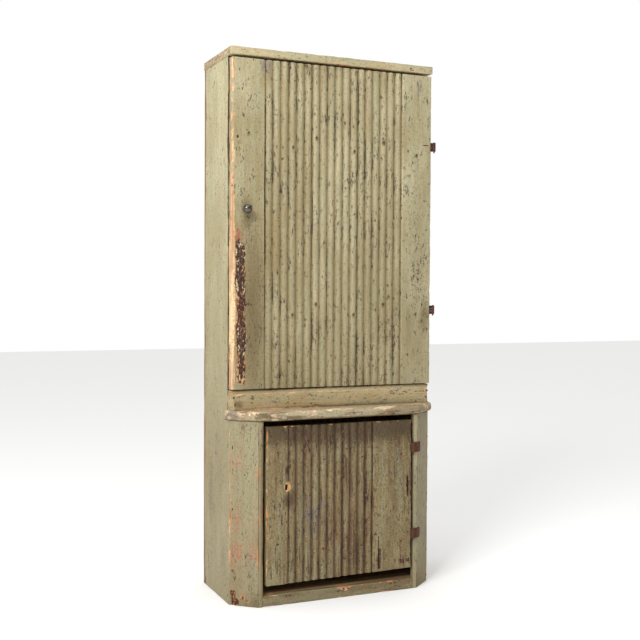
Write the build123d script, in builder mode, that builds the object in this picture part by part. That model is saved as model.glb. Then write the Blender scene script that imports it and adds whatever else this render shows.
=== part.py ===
"""A tall step-front pantry cabinet with two reeded board doors, modelled piece by piece.

Millimetres, +Z up, doors facing -Y, +X to the right of someone who faces the doors.
The origin is on the floor, midway across the case and midway through its whole depth.
"""

from build123d import *

import os
from math import atan2, cos, sin, sqrt, tan

os.makedirs("parts", exist_ok=True)

# ---------------------------------------------------------------- overall sizes
cabinet_height = 1900.0
case_width = 774.0  # over the outside faces of the two side boards
side_depth = 258.0  # upper part of a side board, front edge to back edge

# ---------------------------------------------------------------- board thicknesses
side_thickness = 24.0
top_thickness = 27.0
back_thickness = 14.0
shelf_thickness = 18.0
corner_thickness = 20.0
stile_thickness = 20.0
door_thickness = 28.0
lower_door_thickness = 22.0
batten_thickness = 18.0

# ---------------------------------------------------------------- top board
top_side_overhang = 3.0
top_corner_radius = 4.0
top_edge_radius = 2.0

# ---------------------------------------------------------------- waist and mid rail
waist_underside = 633.0
waist_thickness = 34.0
nose_overhang = 12.0  # the waist board's moulded edge, past the lower front
nose_corner_radius = 12.0
nose_edge_radius = 14.0
rail_height = 67.0
rail_bevel = 13.0

# ---------------------------------------------------------------- projecting lower front
lower_projection = 90.0  # lower front plane, ahead of the upper case's front edge
side_step = 20.0  # how far the lower part of a side board reaches past the upper
corner_inward = 82.0  # how far the canted corner comes in from the side
stile_width = 15.0
base_rail_height = 38.0

# ---------------------------------------------------------------- upper door
door_side_reveal = 2.0
door_top_gap = 9.0
door_bottom_gap = 4.0
door_back_air = 2.0
door_free_arris = 8.0  # rounding of the handled edge
reed_pitch = 29.4
reed_depth = 4.0
reed_quirk = 3.0  # slope from a flat margin down to the first reed
upper_board_count = 3
reeds_per_board = 6
upper_batten_lift = 273.0  # middle of the low batten, above the door's foot
upper_batten_drop = 271.0  # middle of the high batten, below the door's top
upper_batten_width = 75.0
upper_batten_inset = 37.0  # batten end to door edge

# ---------------------------------------------------------------- lower door
lower_door_side_gap = 11.0
lower_door_top_gap = 19.0
lower_door_bottom_gap = 32.0
lower_door_proud = 2.0
lower_door_rise = 9.0  # the sawn foot of the lower door climbs this much towards its hinges
lower_flat_width = 80.0
lower_left_reeds = 7
lower_middle_reeds = 3
lower_right_reeds = 1
lower_batten_lift = 125.0
lower_batten_drop = 106.0
lower_batten_width = 65.0
lower_batten_inset = 14.0
batten_ease = 3.0  # chamfer round a batten's inside face

# ---------------------------------------------------------------- back boards
back_board_count = 4
back_board_gap = 1.5

# ---------------------------------------------------------------- shelves and cleats
low_shelf_lift = 311.0  # above the waist board
high_shelf_drop = 308.0  # below the top board
middle_shelf_raise = 18.5  # above halfway between its neighbours
lower_shelf_top = 335.0
upper_shelf_setback = 32.0  # front edge of an upper shelf, behind the case's front edge
lower_shelf_setback = 4.0
shelf_side_gap = 0.5
cleat_thickness = 18.0
cleat_height = 25.0
cleat_front_setback = 12.0
floor_cleat_lift = 2.0  # the lowest cleats stay off the floor

# ---------------------------------------------------------------- nails and screws
nail_radius = 1.4
nail_head_radius = 3.5
nail_head_proud = 0.8
nail_head_sunk = 0.4
nail_length = 45.0
nail_grip = 35.0  # of a top nail, in the end of a side board
top_nail_margin = 40.0  # first and last top nail, from the ends of a side board's top
rail_nail_offsets = ((4.0, 20.0), (-1.0, 44.0))  # inward, upward
base_nail_columns = (-205.0, -190.0, 13.0, 30.0, 200.0, 216.0)
corner_nail_heights = (24.0, 120.0, 330.0, 540.0)
corner_nail_inset = 9.0  # from the canted board's outer arris
back_nail_inset = 45.0  # from a back board's edges
screw_radius = 1.6
screw_head_radius = 3.4
screw_head_proud = 1.0
screw_length = 14.0

# ---------------------------------------------------------------- hinges
leaf_thickness = 2.5
knuckle_gap = 0.4
pin_running_clearance = 0.05
pin_head_height = 2.0
pin_head_extra = 0.9
pin_tail = 6.0
barrel_clearance = 0.3

upper_hinge_lift = 271.0  # middle of the low hinge, above the door's foot
upper_hinge_drop = 258.0  # middle of the high hinge, below the door's top
upper_hinge_height = 31.0
upper_barrel_radius = 6.0
upper_pin_radius = 2.6
upper_hinge_stand_off = 9.0  # hinge axis, outside the side board's face
upper_hinge_ahead = 3.0  # hinge axis, ahead of the door's face
upper_case_leaf_reach = 34.0  # how far the leaf runs back along the side board
upper_case_screw_setbacks = (8.0, 24.0)  # behind the side board's front edge
upper_case_screw_rise = 8.0  # above and below a hinge's middle
upper_leaf_screw_rise = 9.0

lower_hinge_lift = 132.0
lower_hinge_drop = 100.0
lower_hinge_height = 36.0
lower_barrel_radius = 5.5
lower_pin_radius = 2.3
lower_hinge_ahead = 4.0
lower_leaf_return = 22.0  # part of the leaf that lies on the canted corner
lower_leaf_tip_radius = 6.6
lower_screw_rise = 10.0
lower_screw_inset = 4.5  # case screws, from the stile's outer edge
leaf_back_cover = 2.0  # wood left behind a leaf that is let into a door's edge

# ---------------------------------------------------------------- knob and turn latch
knob_raise = 51.0  # above the middle of the door's height
knob_inset = 48.5  # knob axis to the door's free edge
knob_face_gap = 0.3
rose_radius = 11.0
rose_thickness = 2.5
rose_bevel = 1.5
rose_dome = 1.0
neck_radius = 6.0
neck_length = 7.0
ball_radius = 16.0
spindle_radius = 3.5
spindle_running_clearance = 0.08
spindle_tail = 3.0  # past the latch bar
latch_thickness = 4.0
latch_width = 16.0
latch_tail = 9.0
latch_tip_clearance = 1.5  # to the keeper's foot, with the bar turned level
keeper_thickness = 2.5
keeper_lip = 16.0
keeper_height = 26.0
keeper_depth = 28.0
keeper_running_gap = 1.5

# ---------------------------------------------------------------- rim lock on the lower door
lock_height = 407.0
keyhole_inset = 74.0
keyhole_radius = 4.0
keyhole_slot_width = 4.0
keyhole_slot_drop = 12.0
lock_width = 92.0
lock_case_height = 60.0
lock_depth = 14.0
lock_wall = 2.0
lock_end_block = 16.0  # solid ends of the lock case, where its screws pass
lock_edge_inset = 3.0
bolt_length = 58.0
bolt_height = 16.0
bolt_thickness = 6.0
bolt_clearance = 0.3
bolt_nose_chamfer = 1.5
bolt_way_overcut = 1.0
strike_thickness = 1.2
strike_height = 40.0
strike_margin = 2.0  # bare wood beside the plate

# ---------------------------------------------------------------- derived planes and spans
overall_depth = back_thickness + side_depth + lower_projection + nose_overhang
half_case = case_width / 2
case_height = cabinet_height - top_thickness
inner_half = half_case - side_thickness
back_y = overall_depth / 2
side_back_y = back_y - back_thickness
case_front_y = side_back_y - side_depth
step_front_y = case_front_y - side_step
lower_front_y = case_front_y - lower_projection
waist_top = waist_underside + waist_thickness
rail_top = waist_top + rail_height

door_back_y = case_front_y - door_back_air
door_front_y = door_back_y - door_thickness
door_half = half_case - door_side_reveal
door_bottom = rail_top + door_bottom_gap
door_top = case_height - door_top_gap
upper_batten_heights = (door_bottom + upper_batten_lift, door_top - upper_batten_drop)
upper_hinge_heights = (door_bottom + upper_hinge_lift, door_top - upper_hinge_drop)
knob_height = (door_bottom + door_top) / 2 + knob_raise
low_shelf_top = waist_top + low_shelf_lift
high_shelf_top = case_height - high_shelf_drop
upper_shelf_tops = (
    low_shelf_top,
    (low_shelf_top + high_shelf_top) / 2 + middle_shelf_raise,
    high_shelf_top,
)

corner_half = half_case - corner_inward
corner_forward = step_front_y - lower_front_y
corner_angle = atan2(corner_forward, corner_inward)
corner_run_y = corner_thickness / cos(corner_angle)
opening_half = corner_half - stile_width

lower_door_half = opening_half - lower_door_side_gap
lower_door_front_y = lower_front_y - lower_door_proud
lower_door_back_y = lower_door_front_y + lower_door_thickness
lower_door_bottom = base_rail_height + lower_door_bottom_gap
lower_door_top = waist_underside - lower_door_top_gap
lower_batten_heights = (
    lower_door_bottom + lower_batten_lift,
    lower_door_top - lower_batten_drop,
)
lower_hinge_heights = (
    lower_door_bottom + lower_hinge_lift,
    lower_door_top - lower_hinge_drop,
)

upper_axis = (half_case + upper_hinge_stand_off, door_front_y - upper_hinge_ahead)
lower_axis = (
    lower_door_half + lower_barrel_radius + barrel_clearance,
    lower_door_front_y - lower_hinge_ahead,
)


# ---------------------------------------------------------------- helpers
def keep(piece, name):
    """Labels a finished piece and writes it out under its own name."""
    piece.part.label = name
    export_step(piece.part, f"parts/{name}.step")


def sawn(x_span, y_span, z_span):
    """A plain sawn board between three (low, high) spans."""
    centre = ((x_span[0] + x_span[1]) / 2, (y_span[0] + y_span[1]) / 2)
    with BuildPart() as piece:
        with BuildSketch(Plane.XY.offset(z_span[0])):
            with Locations(centre):
                Rectangle(x_span[1] - x_span[0], y_span[1] - y_span[0])
        extrude(amount=z_span[1] - z_span[0])
    return piece


def fasteners(points, direction, length, radius, head_radius, head_proud, head_sunk):
    """Round fasteners driven in along a direction, with their heads at the given surface points."""
    seats = [Plane(origin=point, z_dir=direction) for point in points]
    with BuildPart() as group:
        with Locations([seat.offset(-head_proud) for seat in seats]):
            Cylinder(
                head_radius,
                head_proud + head_sunk,
                align=(Align.CENTER, Align.CENTER, Align.MIN),
            )
        with Locations(seats):
            Cylinder(radius, length, align=(Align.CENTER, Align.CENTER, Align.MIN))
    return group


def nails(points, direction, length, head_proud=nail_head_proud):
    """Nails with small round heads, a little proud of the wood unless they are driven flush."""
    return fasteners(
        points, direction, length, nail_radius, nail_head_radius, head_proud, nail_head_sunk
    )


def screws(points, direction, length):
    """Screws with low heads that sit on the iron."""
    return fasteners(
        points, direction, length, screw_radius, screw_head_radius, screw_head_proud, 0.0
    )


def bored(piece, *drivers):
    """The same piece with the room cut out for everything that is driven or let into it."""
    with BuildPart() as done:
        add(piece.part)
        for driver in drivers:
            add(driver.part, mode=Mode.SUBTRACT)
    return done


# ---------------------------------------------------------------- fasteners of the case
top_nails = nails(
    [
        (side * (half_case - side_thickness / 2), y, cabinet_height)
        for side in (-1, 1)
        for y in (
            case_front_y + top_nail_margin,
            case_front_y + side_depth / 2,
            side_back_y - top_nail_margin,
        )
    ],
    (0, 0, -1),
    top_thickness + nail_grip,
    head_proud=0.0,
)

rail_nail_points = [
    (side * (half_case - side_thickness / 2 - shift), door_front_y, waist_top + height)
    for side in (-1, 1)
    for shift, height in rail_nail_offsets
]
rail_nails = nails(rail_nail_points, (0, 1, 0), nail_length + door_back_air + door_thickness)
base_nails = nails(
    [
        (x, lower_front_y, base_rail_height - shelf_thickness / 2)
        for x in base_nail_columns
    ],
    (0, 1, 0),
    nail_length,
)


def corner_nail_points(side):
    """Points down the outer margin of one canted corner board."""
    x = side * (half_case - corner_nail_inset)
    y = step_front_y - corner_nail_inset * tan(corner_angle)
    return [(x, y, height) for height in corner_nail_heights]


corner_nails = {
    side: nails(corner_nail_points(side), (0, 1, 0), nail_length) for side in (-1, 1)
}
with BuildPart() as front_nails:
    add(rail_nails.part)
    add(base_nails.part)
    add(corner_nails[-1].part)
    add(corner_nails[1].part)

back_board_width = (case_width - (back_board_count - 1) * back_board_gap) / back_board_count
back_board_starts = [
    -half_case + index * (back_board_width + back_board_gap) for index in range(back_board_count)
]
back_nail_rows = (
    waist_underside + waist_thickness / 2,
    upper_shelf_tops[1] - shelf_thickness / 2,
    upper_shelf_tops[2] - shelf_thickness / 2,
    lower_shelf_top - shelf_thickness / 2,
)
back_nails = nails(
    [
        (x, back_y, height)
        for start in back_board_starts
        for x in (start + back_nail_inset, start + back_board_width - back_nail_inset)
        for height in back_nail_rows
    ],
    (0, -1, 0),
    nail_length,
    head_proud=0.0,
)

# ---------------------------------------------------------------- hinges
upper_plate_x = (door_half - leaf_thickness, door_half)
lower_plate_x = (lower_door_half - leaf_thickness, lower_door_half)


def knuckle_height(height):
    """Height of one of a hinge's three knuckles."""
    return (height - 2 * knuckle_gap) / 3


def hinge_pin(axis, mid, height, radius):
    """A headed pin that drops through the three knuckles and shows a tail below them."""
    low = mid - height / 2
    with BuildPart() as pin:
        with BuildSketch(Plane.XY.offset(low - pin_tail)):
            with Locations(axis):
                Circle(radius)
        extrude(amount=height + pin_tail)
        with BuildSketch(Plane.XY.offset(low + height)):
            with Locations(axis):
                Circle(radius + pin_head_extra)
        extrude(amount=pin_head_height)
        fillet(pin.edges().group_by(Axis.Z)[-1], pin_head_extra)
    return pin


def door_leaf(axis, plate_x, door_back, mid, height, barrel_radius, pin_radius):
    """The leaf let into a door's edge, with the middle knuckle on a short web."""
    low = mid - height / 2
    knuckle = knuckle_height(height)
    web_front = axis[1] - leaf_thickness / 2
    plate_depth = door_back - leaf_back_cover - web_front
    plate_centre = ((plate_x[0] + plate_x[1]) / 2, web_front + plate_depth / 2)
    web_length = axis[0] - plate_x[0]
    with BuildPart() as leaf:
        with BuildSketch(Plane.XY.offset(low)):
            with Locations(plate_centre):
                Rectangle(leaf_thickness, plate_depth)
        extrude(amount=height)
        with BuildSketch(Plane.XY.offset(low + knuckle + knuckle_gap)):
            with Locations(axis):
                Circle(barrel_radius)
            with Locations((plate_x[0] + web_length / 2, axis[1])):
                Rectangle(web_length, leaf_thickness)
            with Locations(axis):
                Circle(pin_radius + pin_running_clearance, mode=Mode.SUBTRACT)
        extrude(amount=knuckle)
    return leaf


def cleared_for_door_knuckle(leaf, axis, low, knuckle, barrel_radius, reach_back):
    """A case leaf with the middle third of its barrel and root cut away for the door's knuckle."""
    notch = barrel_radius + barrel_clearance
    with BuildPart() as done:
        add(leaf.part)
        with BuildSketch(Plane.XY.offset(low + knuckle)):
            with Locations((axis[0] - notch - leaf_thickness * 2, axis[1] - notch)):
                Rectangle(
                    2 * notch + leaf_thickness * 2,
                    notch + reach_back,
                    align=(Align.MIN, Align.MIN),
                )
        extrude(amount=knuckle + 2 * knuckle_gap, mode=Mode.SUBTRACT)
    return done


def upper_case_leaf(mid):
    """A leaf on the outside face of the right side board, with the outer two knuckles."""
    low = mid - upper_hinge_height / 2
    web_front = upper_axis[1] - leaf_thickness / 2
    plate_depth = case_front_y + upper_case_leaf_reach - web_front
    with BuildPart() as leaf:
        with BuildSketch(Plane.XY.offset(low)):
            with Locations((half_case, web_front)):
                Rectangle(leaf_thickness, plate_depth, align=(Align.MIN, Align.MIN))
                Rectangle(
                    upper_hinge_stand_off, leaf_thickness, align=(Align.MIN, Align.MIN)
                )
            with Locations(upper_axis):
                Circle(upper_barrel_radius)
                Circle(upper_pin_radius, mode=Mode.SUBTRACT)
        extrude(amount=upper_hinge_height)
    return cleared_for_door_knuckle(
        leaf,
        upper_axis,
        low,
        knuckle_height(upper_hinge_height),
        upper_barrel_radius,
        upper_barrel_radius + barrel_clearance,
    )


def lower_case_leaf(mid):
    """A leaf on the right stile, bent round onto the canted corner, with the outer two knuckles."""
    low = mid - lower_hinge_height / 2
    outer_y = lower_front_y - leaf_thickness
    bend_x = corner_half + leaf_thickness * tan(corner_angle / 2)
    along = (cos(corner_angle), sin(corner_angle))
    tip_inner = (
        corner_half + lower_leaf_return * along[0],
        lower_front_y + lower_leaf_return * along[1],
    )
    tip_outer = (
        tip_inner[0] + leaf_thickness * along[1],
        tip_inner[1] - leaf_thickness * along[0],
    )
    with BuildPart() as leaf:
        with BuildSketch(Plane.XY.offset(low)):
            with BuildLine():
                Polyline(
                    (lower_axis[0], lower_front_y),
                    (lower_axis[0], outer_y),
                    (bend_x, outer_y),
                    tip_outer,
                    tip_inner,
                    (corner_half, lower_front_y),
                    close=True,
                )
            make_face()
            with Locations(lower_axis):
                Circle(lower_barrel_radius)
                Circle(lower_pin_radius, mode=Mode.SUBTRACT)
        extrude(amount=lower_hinge_height)
        leaf_end = leaf.faces().sort_by(Axis.X)[-1]
        end_corners = leaf_end.edges().group_by(Axis.Z)
        fillet(end_corners[0] + end_corners[-1], lower_leaf_tip_radius)
    return cleared_for_door_knuckle(
        leaf,
        lower_axis,
        low,
        knuckle_height(lower_hinge_height),
        lower_barrel_radius,
        lower_hinge_ahead + lower_door_proud + barrel_clearance,
    )


hinge_places = ("bottom", "top")
upper_hinge_parts = {}
lower_hinge_parts = {}
for place, mid in zip(hinge_places, upper_hinge_heights):
    upper_hinge_parts[place] = {
        "case_leaf": upper_case_leaf(mid),
        "door_leaf": door_leaf(
            upper_axis,
            upper_plate_x,
            door_back_y,
            mid,
            upper_hinge_height,
            upper_barrel_radius,
            upper_pin_radius,
        ),
        "pin": hinge_pin(upper_axis, mid, upper_hinge_height, upper_pin_radius),
    }
for place, mid in zip(hinge_places, lower_hinge_heights):
    lower_hinge_parts[place] = {
        "case_leaf": lower_case_leaf(mid),
        "door_leaf": door_leaf(
            lower_axis,
            lower_plate_x,
            lower_door_back_y,
            mid,
            lower_hinge_height,
            lower_barrel_radius,
            lower_pin_radius,
        ),
        "pin": hinge_pin(lower_axis, mid, lower_hinge_height, lower_pin_radius),
    }

# ---------------------------------------------------------------- screws of the hinges
upper_case_screws = screws(
    [
        (half_case + leaf_thickness, case_front_y + setback, mid + rise)
        for mid in upper_hinge_heights
        for setback in upper_case_screw_setbacks
        for rise in (-upper_case_screw_rise, upper_case_screw_rise)
    ],
    (-1, 0, 0),
    screw_length,
)
lower_case_screws = screws(
    [
        (corner_half - lower_screw_inset, lower_front_y - leaf_thickness, mid + rise)
        for mid in lower_hinge_heights
        for rise in (-lower_screw_rise, lower_screw_rise)
    ],
    (0, 1, 0),
    screw_length,
)
with BuildPart() as hinge_screws:
    add(upper_case_screws.part)
    add(lower_case_screws.part)

upper_leaf_screws = screws(
    [
        (door_half - leaf_thickness, door_front_y + door_thickness / 2, mid + rise)
        for mid in upper_hinge_heights
        for rise in (-upper_leaf_screw_rise, upper_leaf_screw_rise)
    ],
    (-1, 0, 0),
    screw_length,
)
lower_leaf_screws = screws(
    [
        (
            lower_door_half - leaf_thickness,
            lower_door_front_y + lower_door_thickness / 2,
            mid + rise,
        )
        for mid in lower_hinge_heights
        for rise in (-lower_screw_rise, lower_screw_rise)
    ],
    (-1, 0, 0),
    screw_length,
)

# ---------------------------------------------------------------- rim lock
keyhole_x = -lower_door_half + keyhole_inset
lock_left = -lower_door_half + lock_edge_inset
lock_centre_x = lock_left + lock_width / 2
lock_plane = Plane.XZ.offset(-lower_door_back_y)
bolt_front_y = lower_door_back_y + lock_wall + bolt_clearance
bolt_plane = Plane.XZ.offset(-bolt_front_y)

with BuildPart() as lock_case:
    with BuildSketch(lock_plane):
        with Locations((lock_centre_x, lock_height)):
            Rectangle(lock_width, lock_case_height)
    extrude(amount=-lock_depth)
    with BuildSketch(lock_plane):
        with Locations((lock_centre_x, lock_height)):
            Rectangle(lock_width - 2 * lock_end_block, lock_case_height - 2 * lock_wall)
    extrude(amount=-(lock_depth - lock_wall), mode=Mode.SUBTRACT)
    with BuildSketch(bolt_plane.offset(bolt_clearance)):
        with Locations((lock_left, lock_height)):
            Rectangle(
                lock_end_block + bolt_way_overcut,
                bolt_height + 2 * bolt_clearance,
                align=(Align.MIN, Align.CENTER),
            )
    extrude(amount=-(bolt_thickness + 2 * bolt_clearance), mode=Mode.SUBTRACT)

with BuildPart() as lock_bolt:
    with BuildSketch(bolt_plane):
        with Locations((lock_left, lock_height)):
            Rectangle(bolt_length, bolt_height, align=(Align.MIN, Align.CENTER))
    extrude(amount=-bolt_thickness)
    bolt_nose = lock_bolt.faces().sort_by(Axis.X)[0]
    chamfer(bolt_nose.edges().filter_by(Axis.Z), bolt_nose_chamfer)

lock_screws = screws(
    [
        (
            lock_centre_x + side * (lock_width - lock_end_block) / 2,
            lower_door_back_y + lock_depth,
            lock_height + rise * (lock_case_height - lock_end_block) / 2,
        )
        for side in (-1, 1)
        for rise in (-1, 1)
    ],
    (0, -1, 0),
    lock_depth + screw_length,
)
with BuildPart() as lower_door_screws:
    add(lock_screws.part)
    add(lower_leaf_screws.part)

with BuildPart() as keyhole:
    with BuildSketch(Plane.XZ.offset(-lower_door_front_y)):
        with Locations((keyhole_x, lock_height)):
            Circle(keyhole_radius)
            Rectangle(keyhole_slot_width, keyhole_slot_drop, align=(Align.CENTER, Align.MAX))
    extrude(amount=-lower_door_thickness)

with BuildPart() as strike_plate:
    with BuildSketch(Plane.XZ.offset(-(lower_front_y + stile_thickness))):
        with Locations((-opening_half, lock_height)):
            Rectangle(
                stile_width - strike_margin, strike_height, align=(Align.MAX, Align.CENTER)
            )
    extrude(amount=-strike_thickness)

# ---------------------------------------------------------------- knob, spindle and turn latch
knob_x = -door_half + knob_inset
knob_seat = Plane(
    origin=(knob_x, door_front_y, knob_height), x_dir=(1, 0, 0), z_dir=(0, 0, -1)
)
knob_axis = Axis((knob_x, door_front_y, knob_height), (0, -1, 0))
latch_front_y = case_front_y + keeper_thickness + keeper_running_gap
latch_swing = knob_x + inner_half - keeper_thickness - latch_tip_clearance
latch_reach = sqrt(latch_swing**2 - (latch_width / 2) ** 2)
spindle_end_y = latch_front_y + latch_thickness + spindle_tail
ball_foot = rose_thickness + neck_length
ball_centre = ball_foot + sqrt(ball_radius**2 - neck_radius**2)

with BuildPart() as knob:
    with BuildSketch(knob_seat):
        with BuildLine():
            Polyline(
                (0, ball_centre + ball_radius),
                (0, knob_face_gap),
                (rose_radius, knob_face_gap),
                (rose_radius - rose_bevel, rose_thickness),
                (neck_radius, rose_thickness + rose_dome),
                (neck_radius, ball_foot),
            )
            ThreePointArc(
                (neck_radius, ball_foot),
                (ball_radius, ball_centre),
                (0, ball_centre + ball_radius),
            )
        make_face()
    revolve(axis=knob_axis)

with BuildPart() as knob_spindle:
    with BuildSketch(Plane.XZ.offset(-(door_front_y - knob_face_gap))):
        with Locations((knob_x, knob_height)):
            Circle(spindle_radius)
    extrude(amount=-(spindle_end_y - door_front_y + knob_face_gap))

with BuildPart() as spindle_way:
    with BuildSketch(Plane.XZ.offset(-door_front_y)):
        with Locations((knob_x, knob_height)):
            Circle(spindle_radius + spindle_running_clearance)
    extrude(amount=-door_thickness)

with BuildPart() as latch_bar:
    with BuildSketch(Plane.XZ.offset(-latch_front_y)):
        with Locations((knob_x, knob_height - latch_reach)):
            Rectangle(latch_width, latch_reach + latch_tail, align=(Align.CENTER, Align.MIN))
        with Locations((knob_x, knob_height)):
            Circle(spindle_radius, mode=Mode.SUBTRACT)
    extrude(amount=-latch_thickness)

with BuildPart() as latch_keeper:
    with BuildSketch(Plane.XY.offset(knob_height - keeper_height / 2)):
        with Locations((-inner_half, case_front_y)):
            Rectangle(keeper_lip, keeper_thickness, align=(Align.MIN, Align.MIN))
            Rectangle(keeper_thickness, keeper_depth, align=(Align.MIN, Align.MIN))
    extrude(amount=keeper_height)

# ---------------------------------------------------------------- nails of the doors
upper_nail_reeds = (3.5, 6.5, 11.5, 15.5)  # on the crests of these reeds
reed_band_left = -upper_board_count * reeds_per_board * reed_pitch / 2
upper_flat_middle = (door_half - reed_band_left) / 2
upper_nail_columns = [
    -upper_flat_middle,
    *[reed_band_left + reed * reed_pitch for reed in upper_nail_reeds],
    upper_flat_middle,
]
upper_door_nails = nails(
    [
        (x, door_front_y, mid + (-1) ** column * upper_batten_width / 4)
        for mid in upper_batten_heights
        for column, x in enumerate(upper_nail_columns)
    ],
    (0, 1, 0),
    door_thickness + batten_thickness,
)

lower_reeds_from = -lower_door_half + lower_flat_width
lower_left_seam = lower_reeds_from + lower_left_reeds * reed_pitch
lower_right_seam = lower_left_seam + lower_middle_reeds * reed_pitch
lower_right_flat = lower_right_seam + lower_right_reeds * reed_pitch
lower_flat_nail_shares = (0.08, 0.74)  # of the right flat margin's width
lower_nail_columns = [
    -lower_door_half + lower_flat_width / 2,
    lower_reeds_from + 4.5 * reed_pitch,
    lower_left_seam + 0.5 * reed_pitch,
    lower_right_seam - 0.5 * reed_pitch,
    *[
        lower_right_flat + share * (lower_door_half - lower_right_flat)
        for share in lower_flat_nail_shares
    ],
]
lower_door_nails = nails(
    [
        (x, lower_door_front_y, mid + (-1) ** column * lower_batten_width / 4)
        for mid in lower_batten_heights
        for column, x in enumerate(lower_nail_columns)
    ],
    (0, 1, 0),
    lower_door_thickness + batten_thickness,
)


# ---------------------------------------------------------------- case boards
def side_board(inner_x, name, *drivers):
    """One full-height side board, wider below the waist, with its inside face at inner_x."""
    left_x = min(inner_x, inner_x + side_thickness * (1 if inner_x > 0 else -1))
    with BuildPart() as board:
        with BuildSketch(Plane.YZ.offset(left_x)):
            with BuildLine():
                Polyline(
                    (step_front_y, 0),
                    (side_back_y, 0),
                    (side_back_y, case_height),
                    (case_front_y, case_height),
                    (case_front_y, waist_underside),
                    (step_front_y, waist_underside),
                    close=True,
                )
            make_face()
        extrude(amount=side_thickness)
    keep(bored(board, *drivers), name)


side_board(-inner_half, "side_left", top_nails, rail_nails, corner_nails[-1])
side_board(inner_half, "side_right", top_nails, rail_nails, corner_nails[1], upper_case_screws)

with BuildPart() as top_board:
    with BuildSketch(Plane.XY.offset(case_height)):
        with Locations((0, (door_front_y + back_y) / 2)):
            Rectangle(case_width + 2 * top_side_overhang, back_y - door_front_y)
    extrude(amount=top_thickness)
    fillet(top_board.edges().filter_by(Axis.Z), top_corner_radius)
    fillet(top_board.edges().group_by(Axis.Z)[-1], top_edge_radius)
keep(bored(top_board, top_nails), "top_board")

for index, start in enumerate(back_board_starts, start=1):
    back_board = sawn((start, start + back_board_width), (side_back_y, back_y), (0, case_height))
    keep(bored(back_board, back_nails), f"back_board_{index}")


def mirrored_outline(points):
    """A closed outline from the points of its left half, listed from back to front."""
    return points + [(-x, y) for x, y in reversed(points)]


floor_outline = mirrored_outline(
    [
        (-inner_half, side_back_y),
        (-inner_half, step_front_y),
        (-half_case + corner_run_y / tan(corner_angle), step_front_y),
        (-corner_half, lower_front_y + corner_run_y),
        (-corner_half, lower_front_y + stile_thickness),
    ]
)
with BuildPart() as floor_board:
    with BuildSketch(Plane.XY.offset(base_rail_height - shelf_thickness)):
        with BuildLine():
            Polyline(*floor_outline, close=True)
        make_face()
    extrude(amount=shelf_thickness)
keep(bored(floor_board, base_nails), "floor_board")

nose_half = half_case + nose_overhang
nose_front_y = lower_front_y - nose_overhang
nose_shoulder_y = (
    step_front_y
    - nose_overhang / cos(corner_angle)
    + nose_overhang * tan(corner_angle)
)
nose_corner_x = (
    nose_half
    - (nose_shoulder_y - nose_front_y) / tan(corner_angle)
)
waist_outline = mirrored_outline(
    [
        (-inner_half, side_back_y),
        (-inner_half, case_front_y),
        (-nose_half, case_front_y),
        (-nose_half, nose_shoulder_y),
        (-nose_corner_x, nose_front_y),
    ]
)
with BuildPart() as waist_board:
    with BuildSketch(Plane.XY.offset(waist_underside)):
        with BuildLine():
            Polyline(*waist_outline, close=True)
        make_face()
    extrude(amount=waist_thickness)
    front_corners = waist_board.edges().filter_by(Axis.Z).group_by(Axis.Y)
    fillet(front_corners[0] + front_corners[1], nose_corner_radius)
    level_edges = waist_board.edges().group_by(Axis.Z)
    nose_edges = (level_edges[0] + level_edges[-1]).filter_by_position(
        Axis.Y, nose_front_y - 1.0, case_front_y - 0.1
    )
    fillet(nose_edges, nose_edge_radius)
keep(bored(waist_board, back_nails), "waist_board")

with BuildPart() as mid_rail:
    with BuildSketch(Plane.XY.offset(waist_top)):
        with Locations((0, (door_front_y + case_front_y) / 2)):
            Rectangle(case_width, case_front_y - door_front_y)
    extrude(amount=rail_height)
    front_edges = mid_rail.faces().sort_by(Axis.Y)[0].edges()
    chamfer(front_edges.filter_by(Axis.Z) + front_edges.sort_by(Axis.Z)[-1:], rail_bevel)
keep(bored(mid_rail, rail_nails), "mid_rail")

base_rail = sawn(
    (-opening_half, opening_half),
    (lower_front_y, lower_front_y + stile_thickness),
    (0, base_rail_height),
)
keep(bored(base_rail, base_nails), "base_rail")

for side, name in ((-1, "left"), (1, "right")):
    with BuildPart() as corner_board:
        with BuildSketch(Plane.XY):
            with BuildLine():
                Polyline(
                    (side * half_case, step_front_y),
                    (side * corner_half, lower_front_y),
                    (side * corner_half, lower_front_y + corner_run_y),
                    (side * (half_case - corner_run_y / tan(corner_angle)), step_front_y),
                    close=True,
                )
            make_face()
        extrude(amount=waist_underside)
    keep(bored(corner_board, corner_nails[side]), f"corner_board_{name}")
    stile = sawn(
        sorted((side * opening_half, side * corner_half)),
        (lower_front_y, lower_front_y + stile_thickness),
        (0, waist_underside),
    )
    keep(bored(stile, lower_case_screws), f"stile_{name}")

# ---------------------------------------------------------------- shelves on cleats
shelf_half = inner_half - shelf_side_gap
shelf_rows = [("lower_shelf", lower_shelf_top, case_front_y + lower_shelf_setback)]
for index, top in enumerate(upper_shelf_tops, start=1):
    shelf_rows.append((f"upper_shelf_{index}", top, case_front_y + upper_shelf_setback))


def cleat_pair(top, low, front):
    """The two cleats that carry a board from below, one on each side board."""
    with BuildPart() as pair:
        for side in (-1, 1):
            with BuildSketch(Plane.XY.offset(low)):
                with Locations((side * inner_half, front)):
                    Rectangle(
                        cleat_thickness,
                        side_back_y - front,
                        align=(Align.MIN if side < 0 else Align.MAX, Align.MIN),
                    )
            extrude(amount=top - low)
    return pair


for name, top, front in shelf_rows:
    underside = top - shelf_thickness
    shelf = sawn((-shelf_half, shelf_half), (front, side_back_y), (underside, top))
    keep(bored(shelf, back_nails), name)
    cleats = cleat_pair(underside, underside - cleat_height, front + cleat_front_setback)
    keep(cleats, f"{name}_cleats")

keep(
    cleat_pair(base_rail_height - shelf_thickness, floor_cleat_lift, case_front_y),
    "floor_cleats",
)


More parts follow.
